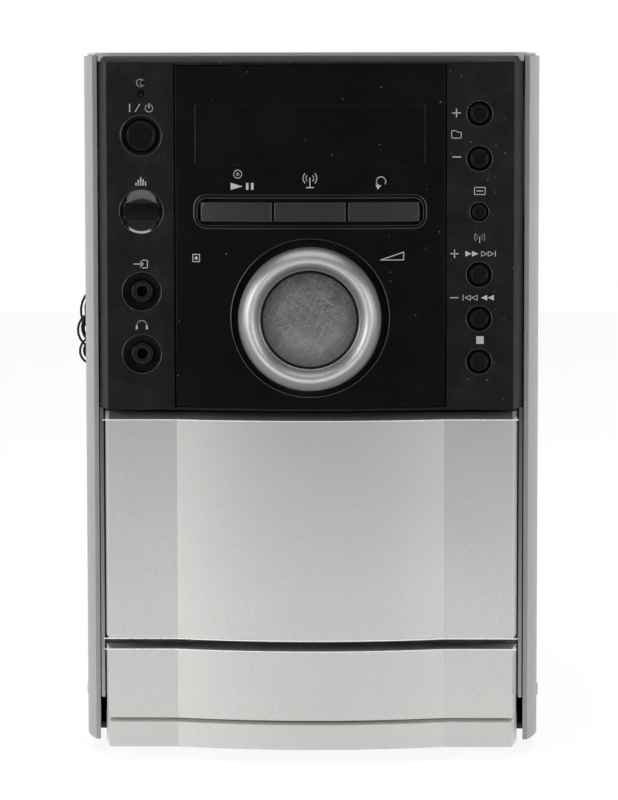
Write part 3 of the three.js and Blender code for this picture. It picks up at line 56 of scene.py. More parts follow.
# The camera
CAMERA_PLACE = Vector((18.854, -1234.28, 222.746)) * MM
CAMERA_YAW, CAMERA_PITCH, CAMERA_ROLL = -0.017, 0.0873, -0.0012
FOCAL_LENGTH, SENSOR_WIDTH = 152.01, 36
forward = Vector((math.sin(CAMERA_YAW) * math.cos(CAMERA_PITCH),
                  math.cos(CAMERA_YAW) * math.cos(CAMERA_PITCH), -math.sin(CAMERA_PITCH)))
right = forward.cross(Vector((0, 0, 1))).normalized()
up = right.cross(forward)
rolled = right * math.cos(CAMERA_ROLL) + up * math.sin(CAMERA_ROLL)
camera_data = bpy.data.cameras.new("camera")
camera_data.lens = FOCAL_LENGTH
camera_data.sensor_width = SENSOR_WIDTH
camera = bpy.data.objects.new("camera", camera_data)
scene.collection.objects.link(camera)
axes = Matrix((rolled, rolled.cross(forward), -forward)).transposed()
camera.matrix_world = Matrix.Translation(CAMERA_PLACE) @ axes.to_4x4()
scene.camera = camera

# The aerial wire and its hank, in millimetres
WIRE = 1.0
GAP = 0.3
BUNCH_LOOPS = 3
HANK_LOOPS = 3 * BUNCH_LOOPS
LOOP_STEPS, COARSE_STEPS = 80, 20
HANK_CENTRE = Vector((-59, 119.5, 132.9))
HANK_HALF, HANK_END, HANK_PITCH, HANK_SLANT, HANK_START = 37.4, 7.5, 1.8, 0.27, 11 / 20
SWAY, SPREAD, RIPPLE, WAIST_DEPTH, WAIST_REACH = 0.032, 0.25, 0.08, 0.35, 17


def smooth_route(points, steps, fine_steps=40):
    """Places spaced evenly along a centripetal curve through the points."""
    points = [Vector(p) for p in points]
    ends = [points[0] * 2 - points[1], *points, points[-1] * 2 - points[-2]]
    fine = []
    for i in range(len(points) - 1):
        p0, p1, p2, p3 = ends[i:i + 4]
        d1, d2, d3 = (max((b - a).length ** 0.5, 1e-6) for a, b in ((p0, p1), (p1, p2), (p2, p3)))
        t1 = ((p1 - p0) / d1 - (p2 - p0) / (d1 + d2) + (p2 - p1) / d2) * d2
        t2 = ((p2 - p1) / d2 - (p3 - p1) / (d2 + d3) + (p3 - p2) / d3) * d2
        fine += interpolate_bezier(p1, p1 + t1 / 3, p2 - t2 / 3, p2, fine_steps + 1)[:-1]
    fine.append(points[-1])
    reach = [0]
    for a, b in zip(fine, fine[1:]):
        reach.append(reach[-1] + (b - a).length)
    places, at = [], 0
    for k in range(steps + 1):
        want = reach[-1] * k / steps
        while at < len(fine) - 2 and reach[at + 1] < want:
            at += 1
        share = (want - reach[at]) / max(reach[at + 1] - reach[at], 1e-9)
        places.append(fine[at].lerp(fine[at + 1], min(1, share)))
    return places


def hank_place(step, per_loop):
    """A place on the hank: two straight sides drawn together at the waist, and two round ends."""
    straight = HANK_HALF - HANK_END
    half = 2 * straight + math.pi * HANK_END
    s = ((step + per_loop * HANK_START) % per_loop) / per_loop * 2 * half
    side, s = (1, s) if s < half else (-1, s - half)
    if s < 2 * straight:
        u, w = s - straight, -HANK_END
    else:
        a = (s - 2 * straight) / HANK_END - math.pi / 2
        u, w = straight + HANK_END * math.cos(a), HANK_END * math.sin(a)
    u, w = side * u, side * w
    loop = step / per_loop
    bunch = (math.tanh(3 * (loop - BUNCH_LOOPS)) + math.tanh(3 * (loop - 2 * BUNCH_LOOPS))) / 2
    slant = -HANK_SLANT * bunch
    u *= 1 + SWAY * math.cos(2 * math.pi * (loop - 0.5) / BUNCH_LOOPS)
    w *= (1 + SPREAD * bunch + RIPPLE * math.sin(4 * loop)) * (
        1 - WAIST_DEPTH * math.exp(-((u / WAIST_REACH) ** 2)))
    return HANK_CENTRE + Vector((u * math.cos(slant) - w * math.sin(slant), HANK_PITCH * loop,
                                 u * math.sin(slant) + w * math.cos(slant)))


loops = [hank_place(i, LOOP_STEPS) for i in range(HANK_LOOPS * LOOP_STEPS - 1)]
back_way = (hank_place(0, COARSE_STEPS) - hank_place(1, COARSE_STEPS)).normalized()
plug_low, plug_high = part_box("antenna_wire_plug")
wire_exit = Vector(((plug_low.x + plug_high.x) / 2, plug_high.y, (plug_low.z + plug_high.z) / 2)) / MM
lead_end = loops[0] + back_way * (2 * WIRE + GAP)
lead = smooth_route([wire_exit, wire_exit + Vector((0, GAP + 2 * WIRE, 0)), (-57, 143, 150),
                     (-43, 147.5, 152.5), (-27, 142, 154), (-19, 131, 153), (-23, 121.5, 149.5),
                     lead_end + back_way * 2 * WIRE, lead_end], 60)


def turns(count):
    """Cosine and sine of angles spaced evenly round a circle."""
    return [(math.cos(2 * math.pi * k / count), math.sin(2 * math.pi * k / count)) for k in range(count)]


def linked(name, mesh):
    """A bmesh becomes an object in the scene."""
    bmesh.ops.recalc_face_normals(mesh, faces=mesh.faces)
    data = bpy.data.meshes.new(name)
    mesh.to_mesh(data)
    mesh.free()
    obj = bpy.data.objects.new(name, data)
    scene.collection.objects.link(obj)
    return obj


def skin(mesh, rings, closed=True):
    """Quads from each ring of points to the next and, if closed, from the last to the first."""
    for one, two in zip(rings, rings[1:] + rings[:1] if closed else rings[1:]):
        for k in range(len(one)):
            n = (k + 1) % len(one)
            mesh.faces.new((one[k], one[n], two[n], two[k]))


def plate(mesh, front, back):
    """An outline and its copy behind it, closed to a plate."""
    mesh.faces.new(front)
    mesh.faces.new(back[::-1])
    skin(mesh, [front, back], False)


def tube(name, route, radius, sides):
    """A tube along a route that starts backwards, with closed ends."""
    mesh = bmesh.new()
    across = Vector((1, 0, 0))
    rings = []
    for i, place in enumerate(route):
        way = (route[min(i + 1, len(route) - 1)] - route[max(i - 1, 0)]).normalized()
        across = (across - way * across.dot(way)).normalized()
        side = way.cross(across)
        rings.append([mesh.verts.new(place + (across * c + side * s) * radius) for c, s in turns(sides)])
    skin(mesh, rings, False)
    for face in mesh.faces:
        face.smooth = True
    mesh.faces.new(rings[0][::-1])
    mesh.faces.new(rings[-1])
    return linked(name, mesh)


# Materials
def surface(material):
    return material.node_tree.nodes["Principled BSDF"]


def shader(name, colour, roughness, metallic, **sockets):
    material = bpy.data.materials.new(name)
    material.use_nodes = True
    sockets.update(Base_Color=(*colour, 1), Roughness=roughness, Metallic=metallic)
    for key, value in sockets.items():
        surface(material).inputs[key.replace("_", " ")].default_value = value
    return material


def add(material, kind, **settings):
    """A new shader node, with values for its inputs and for its own settings."""
    node = material.node_tree.nodes.new("ShaderNode" + kind)
    for key, value in settings.items():
        title = key.replace("_", " ")
        if title in node.inputs:
            node.inputs[title].default_value = value
        else:
            setattr(node, key, value)
    return node


def link(material, socket, node, into):
    material.node_tree.links.new(socket, node.inputs[into])


def object_place(material, stretch=(1, 1, 1), turn=(0, 0, 0), vector_type="TEXTURE"):
    """Object coordinates, turned and then divided by the stretch or, with POINT, multiplied by it."""
    mapping = add(material, "Mapping", vector_type=vector_type, Rotation=turn, Scale=stretch)
    link(material, add(material, "TexCoord").outputs["Object"], mapping, "Vector")
    return mapping.outputs["Vector"]


def noise(material, scale, detail, place=None, **more):
    node = add(material, "TexNoise", Scale=scale, Detail=detail, **more)
    link(material, object_place(material) if place is None else place, node, "Vector")
    return node.outputs["Fac"]


def ramped(material, socket, low, high, top=1.0, bottom=0.0):
    """The bottom value up to low, the top value from high, and an even change between them."""
    ramp = add(material, "MapRange", From_Min=low, From_Max=high, To_Min=bottom, To_Max=top)
    link(material, socket, ramp, "Value")
    return ramp.outputs["Result"]


def worked(material, operation, a, b):
    """Arithmetic on a socket and a socket or a number."""
    node = add(material, "Math", operation=operation)
    link(material, a, node, 0)
    if isinstance(b, float):
        node.inputs[1].default_value = b
    else:
        link(material, b, node, 1)
    return node.outputs["Value"]


def two_tones(material, value, places, colours):
    """The base colour goes from one colour to another as the value rises."""
    ramp = add(material, "ValToRGB")
    for element, place, colour in zip(ramp.color_ramp.elements, places, colours):
        element.position = place
        element.color = (*colour, 1)
    link(material, value, ramp, "Fac")
    link(material, ramp.outputs["Color"], surface(material), "Base Color")


def grain(material, scale, colour_spread, rough_spread, bump, distance=0.0001, stretch=(1, 1, 1)):
    """Fine variation of colour and roughness and a small bump."""
    value = noise(material, scale, 4, object_place(material, stretch, vector_type="POINT"))
    base = surface(material).inputs["Base Color"].default_value[:3]
    tones = [[min(1, c * share) for c in base] for share in (1 - colour_spread, 1 + colour_spread)]
    two_tones(material, value, (0.3, 0.7), tones)
    rough = surface(material).inputs["Roughness"].default_value
    rough = ramped(material, value, 0, 1, min(1, rough + rough_spread), max(0.02, rough - rough_spread))
    link(material, rough, surface(material), "Roughness")
    if bump:
        dent = add(material, "Bump", Strength=bump, Distance=distance)
        link(material, value, dent, "Height")
        link(material, dent.outputs["Normal"], surface(material), "Normal")
    return material


def laid_over(material, amount, colour):
    """Mixes a colour over the base colour, by the value of a node."""
    mix = add(material, "MixRGB", Color2=(*colour, 1))
    link(material, surface(material).inputs["Base Color"].links[0].from_socket, mix, "Color1")
    link(material, amount, mix, "Fac")
    link(material, mix.outputs["Color"], surface(material), "Base Color")
    return material


def shaded(material, value, low, high, top, colour):
    """A colour laid over, from nothing at the low value to the share named top at the high one."""
    return laid_over(material, ramped(material, value, low, high, top), colour)


def dusty(material, colour, specks, cell, size=0.06, stretch=1, turn=0.0):
    """Specks or, stretched, short hairs: in some cells of a grid there is one, of varying strength."""
    cells = add(material, "TexVoronoi", Scale=1 / cell)
    link(material, object_place(material, (1, 1, stretch), (0, turn, 0)), cells, "Vector")
    split = add(material, "SeparateColor")
    link(material, cells.outputs["Color"], split, "Color")
    near = ramped(material, cells.outputs["Distance"], size, size * 0.6, specks)
    some = ramped(material, split.outputs["Red"], 0.55, 1.0)
    return laid_over(material, worked(material, "MULTIPLY", near, some), colour)


def scratched(material, colour, strength):
    """Short hairline scratches in three directions."""
    for turn, length in ((0.9, 26), (-0.5, 16), (2.2, 34)):
        dusty(material, colour, strength, 0.004, 0.035, length, turn)


def clouded(material, scale, amount):
    """A faint uneven haze."""
    shaded(material, noise(material, scale, 8.0, Roughness=0.7), 0.45, 0.8, amount, DUST)


def flecked(name, colour, metallic):
    """Metallic paint: a fine grain with faint light and dark flecks, and a slow cloud of colour."""
    material = grain(shader(name, colour, 0.42, metallic), 2600, 0.07, 0.05, 0.12, 0.00006)
    bright, dark = [min(1, c * 1.5) for c in colour], [c * 0.6 for c in colour]
    fine = noise(material, 5200.0, 2.0)
    shaded(material, fine, 0.58, 0.75, 0.6, bright)
    shaded(material, fine, 0.42, 0.25, 0.5, dark)
    return shaded(material, noise(material, 22.0, 3.0), 0.35, 0.75, 0.12, dark)


def along(material, axis):
    """One of the object coordinates, in metres."""
    split = add(material, "SeparateXYZ")
    link(material, object_place(material), split, "Vector")
    return split.outputs[axis]


def by_height(material, low, high, top, colour):
    """A colour laid over from one height to another, in metres."""
    shaded(material, along(material, "Z"), low, high, top, colour)


def from_axis(material, x, z):
    """The distance from an axis through x and z, in metres."""
    away = add(material, "VectorMath", operation="DISTANCE")
    link(material, object_place(material, (1, 0, 1), vector_type="POINT"), away, 0)
    away.inputs[1].default_value = (x, 0, z)
    return away.outputs["Value"]


# Each row: colour, roughness, metallic, specular level, then the grain's scale, spread of colour, spread of
# roughness and bump and, for some, the bump's depth in metres and the grain's stretch
TABLE = {
    "matte_black": ((0.0072, 0.0062, 0.0062), 0.55, 0, 0.1, 1800, 0.15, 0.06, 0.1, 0.00005),
    "gloss_black": ((0.0016, 0.0013, 0.0013), 0.08, 0, 0.32, 60, 0.25, 0.03, 0),
    "dark_grey": ((0.02, 0.02, 0.021), 0.4, 0, 0.4, 1800, 0.12, 0.06, 0.08, 0.00005),
    "key_grey": ((0.16, 0.16, 0.158), 0.45, 0, 0.5, 1500, 0.08, 0.06, 0.08, 0.00005),
    "steel": ((0.5, 0.5, 0.5), 0.32, 0.9, 0.5, 300, 0.08, 0.08, 0.04, 0.00005, (1, 8, 1)),
    "rubber": ((0.006, 0.006, 0.006), 0.7, 0, 0.3, 900, 0.2, 0.1, 0.15, 0.0001),
    "green_board": ((0.02, 0.13, 0.035), 0.4, 0, 0.5, 160, 0.25, 0.08, 0.05),
    "aluminium": ((0.62, 0.62, 0.62), 0.35, 0.95, 0.5, 500, 0.06, 0.08, 0.05, 0.00005, (1, 1, 12)),
    "copper": ((0.45, 0.17, 0.07), 0.35, 0.8, 0.5, 400, 0.15, 0.08, 0.1, 0.0002, (1, 1, 20)),
    "red_lens": ((0.005, 0.002, 0.002), 0.15, 0, 0.3, 400, 0.1, 0.03, 0),
    "white_plastic": ((0.72, 0.72, 0.69), 0.4, 0, 0.5, 800, 0.04, 0.05, 0.05),
    "print_grey": ((0.36, 0.37, 0.37), 0.5, 0, 0.5, 900, 0.08, 0.05, 0),
    "print_red": ((0.4, 0.02, 0.015), 0.5, 0, 0.5, 900, 0.08, 0.05, 0),
    "knob_silver": ((0.74, 0.755, 0.76), 0.42, 0.75, 0.5, 2600, 0.12, 0.05, 0.12, 0.00004),
    "cap_black": ((0.0045, 0.0042, 0.0042), 0.35, 0, 0.1, 700, 0.3, 0.1, 0.05, 0.00004),
    "rim_black": ((0.028, 0.027, 0.027), 0.2, 0, 0.5, 700, 0.4, 0.1, 0),
    "socket_grey": ((0.008, 0.0078, 0.0075), 0.3, 0, 0.2, 900, 0.2, 0.1, 0.05),
    "bar_grey": ((0.017, 0.017, 0.0172), 0.4, 0, 0.4, 1500, 0.12, 0.08, 0.1, 0.00005),
    "pit_black": ((0.0012, 0.001, 0.001), 0.6, 0, 0.04, 900, 0.3, 0.1, 0.05),
    "dish_black": ((0.002, 0.0018, 0.0017), 0.16, 0, 1.0, 500, 0.2, 0.05, 0.03),
    # A light silver that paints highlights along edges
    "edge_silver": ((0.86, 0.86, 0.84), 0.3, 0.25, 0.5, 900, 0.1, 0.1, 0.05),
    "tie_black": ((0.004, 0.004, 0.004), 0.5, 0, 0.5, 1200, 0.3, 0.1, 0.1),
    "red_plastic": ((0.35, 0.012, 0.01), 0.4, 0, 0.5, 900, 0.1, 0.06, 0.05),
    "lens_violet": ((0.01, 0.006, 0.035), 0.05, 0, 0.5, 500, 0.2, 0.03, 0),
    "screw_steel": ((0.42, 0.41, 0.39), 0.35, 0.95, 0.5, 900, 0.15, 0.1, 0.1, 0.00005),
    "black_steel": ((0.02, 0.02, 0.021), 0.4, 0.4, 0.5, 900, 0.2, 0.1, 0.1, 0.00005)}
COATS = {"dish_black": {"Coat_Weight": 0.6, "Coat_Roughness": 0.12}, "lens_violet": {"Coat_Weight": 0.6}}
SILVER, SIDE_SILVER, SCRATCH = (0.6, 0.605, 0.585), (0.36, 0.345, 0.343), (0.8, 0.8, 0.78)
DUST, PALE_DUST = (0.3, 0.29, 0.27), (0.4, 0.38, 0.35)
LOOK = {}
for name, (colour, rough, metal, specular, *fine) in TABLE.items():
    material = shader(name, colour, rough, metal, Specular_IOR_Level=specular, **COATS.get(name, {}))
    LOOK[name] = grain(material, *fine)
for name, colour, *how in (
        ("matte_black", PALE_DUST, 0.6, 0.003, 0.09), ("gloss_black", PALE_DUST, 0.5, 0.004, 0.07),
        ("pit_black", (0.4, 0.38, 0.34), 0.6, 0.0016, 0.09), ("dish_black", DUST, 0.6, 0.0014),
        ("cap_black", DUST, 0.4, 0.002), ("bar_grey", DUST, 0.4, 0.003)):
    dusty(LOOK[name], colour, *how)
scratched(LOOK["gloss_black"], DUST, 0.2)
clouded(LOOK["gloss_black"], 40.0, 0.012)
clouded(LOOK["matte_black"], 120.0, 0.03)
for name, colour, metal in (("silver_paint", SILVER, 0.6), ("door_silver", SILVER, 0.6),
                            ("frame_silver", SILVER, 0.6), ("side_silver", SIDE_SILVER, 0.5)):
    LOOK[name] = flecked(name, colour, metal)
scratched(LOOK["silver_paint"], SCRATCH, 0.22)

# The door: painted shade makes it darker towards its top and darkens its lower edge; a dark brown-grey band
# runs along its top edge
door = LOOK["door_silver"]
scratched(door, SCRATCH, 0.22)
# Painted shade: darker towards the top
by_height(door, 0.055, 0.118, 0.34, (0.3, 0.3, 0.29))
# Painted shade: the lower edge is nearly black where it faces the gap above the flap
by_height(door, 0.04175, 0.04155, 0.75, (0.02, 0.018, 0.017))
# A dark brown-grey band along the top edge
by_height(door, 0.11655, 0.1167, 0.6, (0.16, 0.135, 0.12))

# The narrow strips beside the door lie deep: painted shade makes them darker and browner than the rest, more so
# towards the top; a dark brown-grey band runs along the frame at the door's top edge
strips = LOOK["frame_silver"]
beside = ramped(strips, worked(strips, "ABSOLUTE", along(strips, "X"), 0.0), 0.0704, 0.0709)
# Painted shade in the deep recess beside the door, stronger towards the top
recess_shade = ramped(strips, along(strips, "Z"), 0.02, 0.125, 0.87, 0.42)
laid_over(strips, worked(strips, "MULTIPLY", beside, recess_shade), (0.035, 0.032, 0.03))
# A dark brown-grey band along the frame at the height of the door's top edge
by_height(strips, 0.1184, 0.1188, 0.35, (0.16, 0.13, 0.11))

# Painted highlight: the ring's colour is darkened on both sides of its crest, so the crest is brightest
KNOB_Z = 151.22
away = from_axis(LOOK["knob_silver"], 0, KNOB_Z * MM)
shaded(LOOK["knob_silver"], away, 0.0199, 0.0212, 0.9, (0.15, 0.155, 0.16))
shaded(LOOK["knob_silver"], away, 0.0201, 0.0188, 0.85, (0.16, 0.165, 0.17))

# The knob's cap: clouded grey with faint crossing scratches; painted light makes it lighter towards its bottom,
# and painted shade darker towards its edge
cap = LOOK["cap_worn_and_shaded"] = shader("cap_worn_and_shaded", (0.15, 0.155, 0.16), 0.36, 0.75)
cloud = noise(cap, 170.0, 10.0, Roughness=0.75, Distortion=0.3)
two_tones(cap, cloud, (0.33, 0.68), [(level, level * 1.03, level * 1.05) for level in (0.1, 0.24)])
shaded(cap, noise(cap, 1400.0, 3.0), 0.45, 0.8, 0.6, (0.4, 0.42, 0.43))
for turn in (0.5, 1.3, 2.2):
    lines = noise(cap, 2600.0, 0.0, object_place(cap, (1, 1, 22), (0, turn, 0)))
    shaded(cap, lines, 0.62, 0.78, 0.3, (0.45, 0.48, 0.49))
# Painted light: lighter towards the bottom
by_height(cap, 0.156, 0.138, 0.3, (0.5, 0.5, 0.49))
away = from_axis(cap, 0, KNOB_Z * MM)
# Painted shade: darker towards the edge, where the ring's raised wall stands round the cap
shaded(cap, away, 0.0095, 0.0162, 0.7, (0.05, 0.05, 0.052))
# Painted shadow: a thin near-black line just inside the cap's rim
shaded(cap, away, 0.0154, 0.0158, 0.8, (0.006, 0.006, 0.006))
link(cap, ramped(cap, cloud, 0, 1, 0.52, 0.28), surface(cap), "Roughness")

# The looks of those slots that go by another name
LOOK.update(silver=LOOK["silver_paint"], smoke=LOOK["gloss_black"], white=LOOK["white_plastic"])

# A node group that shades smoothly all edges flatter than an angle
smoother = bpy.data.node_groups.new("smooth_by_angle", "GeometryNodeTree")
for name, in_out, kind in (("Geometry", "INPUT", "Geometry"), ("Angle", "INPUT", "Float"),
                           ("Geometry", "OUTPUT", "Geometry")):
    smoother.interface.new_socket(name, in_out=in_out, socket_type="NodeSocket" + kind)
g_in, g_out, g_angle, g_test, g_faces, g_edges = (smoother.nodes.new(kind) for kind in (
    "NodeGroupInput", "NodeGroupOutput", "GeometryNodeInputMeshEdgeAngle", "FunctionNodeCompare",
    "GeometryNodeSetShadeSmooth", "GeometryNodeSetShadeSmooth"))
g_test.operation = "LESS_THAN"
g_faces.domain, g_edges.domain = "FACE", "EDGE"
for giver, out, taker, into in (
        (g_in, "Geometry", g_faces, "Geometry"), (g_faces, "Geometry", g_edges, "Geometry"),
        (g_angle, "Unsigned Angle", g_test, "A"), (g_in, "Angle", g_test, "B"),
        (g_test, "Result", g_edges, "Shade Smooth"), (g_edges, "Geometry", g_out, "Geometry")):
    smoother.links.new(giver.outputs[out], taker.inputs[into])
ANGLE_KEY = next(i.identifier for i in smoother.interface.items_tree if i.name == "Angle")


def dress(obj, look, smooth=25, bevel=0.0, weld=False):
    """Gives a piece its material, softened edges and smooth shading, all by modifiers."""
    obj.data.materials.clear()
    obj.data.materials.append(LOOK[look])
    if weld:
        obj.modifiers.new("weld", "WELD").merge_threshold = 1e-6
    if bevel:
        edge = obj.modifiers.new("bevel", "BEVEL")
        edge.width = bevel * MM
        edge.segments = 2
        edge.limit_method = "ANGLE"
        edge.angle_limit = math.radians(45)
    if smooth:
        shade = obj.modifiers.new("smooth", "NODES")
        shade.node_group = smoother
        shade[ANGLE_KEY] = math.radians(smooth)
    return obj


def placed(obj, body, slot, look=None, smooth=30, bevel=0.0):
    """Material and body of a finished piece; without a look of its own it has its slot's."""
    dress(obj, look or slot, smooth, bevel)
    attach(obj, body)
    return obj


slot_of = {part["node"]: part["material_slot"] for part in frame["record"]["subparts"]}
SPECIAL = {"left_side_panel": "side_silver", "right_side_panel": "side_silver", "lower_frame": "frame_silver",
           "cassette_door": "door_silver"}
for name, obj in nodes.items():
    faceted = name in ("cassette_door", "key_flap", "lower_frame", "window_panel")
    dress(obj, SPECIAL.get(name, slot_of[name]), 9 if faceted else 25, 0.2, True)
    if name in ("left_side_panel", "right_side_panel", "top_cover", "disc_lid"):
        # Flat faces keep their own direction where they meet a curve
        obj.modifiers.new("even", "WEIGHTED_NORMAL").keep_sharp = True

# The cord
wire_route = [p * MM for p in lead + loops]
aerial = tube("aerial_wire", wire_route, WIRE * MM / 2, 8)
aerial.data.materials.append(LOOK["rubber"])
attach(aerial, "cabinet")
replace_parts(aerial, "antenna_wire_lead", "antenna_wire_hank")

# The tie: a flat band with rounded edges round the waist of the hank
TIE_SIDES, TIE_SQUARE, TIE_ROOM = 64, 0.45, 0.1
waist = [p for p in loops if abs(p.x - HANK_CENTRE.x) < 2.2]
waist_low = Vector([min(p[i] for p in waist) - WIRE / 2 - TIE_ROOM for i in range(3)])
waist_high = Vector([max(p[i] for p in waist) + WIRE / 2 + TIE_ROOM for i in range(3)])
waist_mid, waist_half = (waist_low + waist_high) / 2, (waist_high - waist_low) / 2
mesh = bmesh.new()
rings = []
for x, grow in ((-1.5, 0.05), (-1.7, 0.35), (-1.3, 0.6), (1.3, 0.6), (1.7, 0.35), (1.5, 0.05)):
    ring = []
    for c, s in turns(TIE_SIDES):
        u = (waist_half.y + grow) * math.copysign(abs(c) ** TIE_SQUARE, c)
        v = (waist_half.z + grow) * math.copysign(abs(s) ** TIE_SQUARE, s)
        ring.append(mesh.verts.new(Vector((HANK_CENTRE.x + x, waist_mid.y + u, waist_mid.z + v)) * MM))
    rings.append(ring)
skin(mesh, rings)
tie = placed(linked("aerial_tie", mesh), "cabinet", "rubber", "tie_black", 40)

# Shapes of the front, in millimetres
FRONT = -97.0
ARCH_HALF, ARCH_RISE, ARCH_STEP = 45.2, 6.0, 2.0
ARCH_RADIUS = (ARCH_HALF ** 2 + ARCH_RISE ** 2) / (2 * ARCH_RISE)


def front_y(x):
    """The front surface at x: flat columns and an arched middle."""
    if abs(x) >= ARCH_HALF:
        return FRONT
    return FRONT - (math.sqrt(ARCH_RADIUS ** 2 - x * x) - (ARCH_RADIUS - ARCH_RISE))


def on_front(x, z, lift):
    return Vector((x, front_y(x) - lift, z))


def box_mm(node):
    return [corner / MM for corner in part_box(node)]


def middle(node):
    low, high = box_mm(node)
    return (low + high) / 2


def like(node):
    """The body and the slot of a node."""
    return body_of[node], slot_of[node]


def lathe(name, profile, at, axis, sides):
    """Turns a closed profile of (radius, place along the axis) about an axis through a place."""
    mesh = bmesh.new()
    centre = Vector([0 if letter == axis else value for letter, value in zip("xyz", at)])
    rings = []
    for radius, place in profile:
        ring = []
        for k in range(1 if radius == 0 else sides):
            a = 2 * math.pi * k / sides
            reach = radius(a) if callable(radius) else radius
            u, v = reach * math.cos(a), reach * math.sin(a)
            point = {"y": (u, place, v), "z": (u, v, place), "x": (place, u, v)}[axis]
            ring.append(mesh.verts.new((Vector(point) + centre) * MM))
        rings.append(ring)
    for low, high in zip(rings, rings[1:] + rings[:1]):
        if len(low) == len(high) == 1:
            continue
        for k in range(sides):
            corners = low[k % len(low)], low[(k + 1) % len(low)], high[(k + 1) % len(high)], high[k % len(high)]
            mesh.faces.new(list(dict.fromkeys(corners)))
    return linked(name, mesh)


def bent(points, radius, steps=5):
    """A profile with its inner corners rounded off."""
    out = [points[0]]
    for before, here, after in zip(points, points[1:], points[2:]):
        a, b, c = Vector(before), Vector(here), Vector(after)
        r = min(radius, (a - b).length * 0.45, (c - b).length * 0.45)
        start, end = b + (a - b).normalized() * r, b + (c - b).normalized() * r
        for k in range(steps + 1):
            t = k / steps
            out.append(tuple(start * (1 - t) ** 2 + b * 2 * t * (1 - t) + end * t ** 2))
    out.append(points[-1])
    return out


def turned(name, at, points, body, slot, look=None, soft=0.3, steps=4, tail=(), base=0.0, axis="y", sides=96):
    """A lathed piece: its profile starts from a base, and its corners are rounded except in the tail."""
    profile = (bent(points, soft, steps) if soft else list(points)) + list(tail)
    return placed(lathe(name, [(r, base + a) for r, a in profile], at, axis, sides), body, slot, look)


def rounded_loop(cx, cz, half_x, half_z, radius, corner=8, edge=12):
    """Points round a rounded rectangle in a front view."""
    points = []
    for sx, sz, quarter in ((1, -1, -1), (1, 1, 0), (-1, 1, 1), (-1, -1, 2)):
        for k in range(corner + 1):
            a = (quarter + k / corner) * math.pi / 2
            points.append((cx + sx * (half_x - radius) + radius * math.cos(a),
                           cz + sz * (half_z - radius) + radius * math.sin(a)))
    dense = []
    for i, ((x0, z0), (x1, z1)) in enumerate(zip(points, points[1:] + points[:1])):
        side = (i + 1) // (corner + 1)
        count = 1 if (i + 1) % (corner + 1) else (edge if side % 2 == 0 else 4)
        dense += [(x0 + (x1 - x0) * k / count, z0 + (z1 - z0) * k / count) for k in range(count)]
    return dense


def circle(cx, cz, radius, count=96):
    return [(cx + radius * c, cz + radius * s) for c, s in turns(count)]


def bead(name, loop, radius, proud=-0.02, flat=False, owner=("cabinet", "gloss_black"), look="rim_black"):
    """A thin closed rim that follows the front surface or, if flat, the plane of the columns."""
    mesh = bmesh.new()
    places = [Vector((x, (FRONT if flat else front_y(x)) - proud, z)) for x, z in loop]
    rings = []
    for i, place in enumerate(places):
        way = (places[(i + 1) % len(places)] - places[i - 1]).normalized()
        out = Vector((0, -1, 0))
        out = (out - way * out.dot(way)).normalized()
        side = way.cross(out)
        rings.append([mesh.verts.new((place + (out * c + side * s) * radius) * MM) for c, s in turns(8)])
    skin(mesh, rings)
    return placed(linked(name, mesh), *owner, look)


def arch_slab(name, loop, proud, thick):
    """A plate with an outline in a front view, bowed like the front surface."""
    mesh = bmesh.new()
    mesh.faces.new([mesh.verts.new((x, 0, z)) for x, z in loop])
    x = -ARCH_HALF
    while x < ARCH_HALF:
        if min(loop)[0] < x < max(loop)[0]:
            bmesh.ops.bisect_plane(mesh, geom=mesh.verts[:] + mesh.edges[:] + mesh.faces[:],
                                   plane_co=(x, 0, 0), plane_no=(1, 0, 0))
        x = round(x + ARCH_STEP, 3)
    got = bmesh.ops.extrude_face_region(mesh, geom=mesh.faces[:])
    backs = {v for v in got["geom"] if isinstance(v, bmesh.types.BMVert)}
    for v in mesh.verts:
        v.co = (on_front(v.co.x, v.co.z, proud) + Vector((0, thick if v in backs else 0, 0))) * MM
    return linked(name, mesh)


def framed(name, outer, inner, on, lift, body, slot, deep=0.1, smooth=30, bevel=0.12):
    """A low frame between two outlines with as many points, on a surface."""
    mesh = bmesh.new()
    skin(mesh, [[mesh.verts.new(on(x, z, rise) * MM) for x, z in loop]
                for loop, rise in ((outer, -deep), (outer, lift), (inner, lift), (inner, -deep))])
    return placed(linked(name, mesh), body, slot, None, smooth, bevel)


def prism(name, outline, low, high, axis):
    """An outline drawn through from low to high: (y, z) along x, or (x, z) along y."""
    mesh = bmesh.new()
    plate(mesh, *([mesh.verts.new(Vector((w, u, v) if axis == "x" else (u, w, v)) * MM) for u, v in outline]
                  for w in (low, high)))
    return linked(name, mesh)


# Prints: generic marks, no words
PRINT_THICK, PRINT_ROOT, STROKE = 0.04, 0.05, 0.34


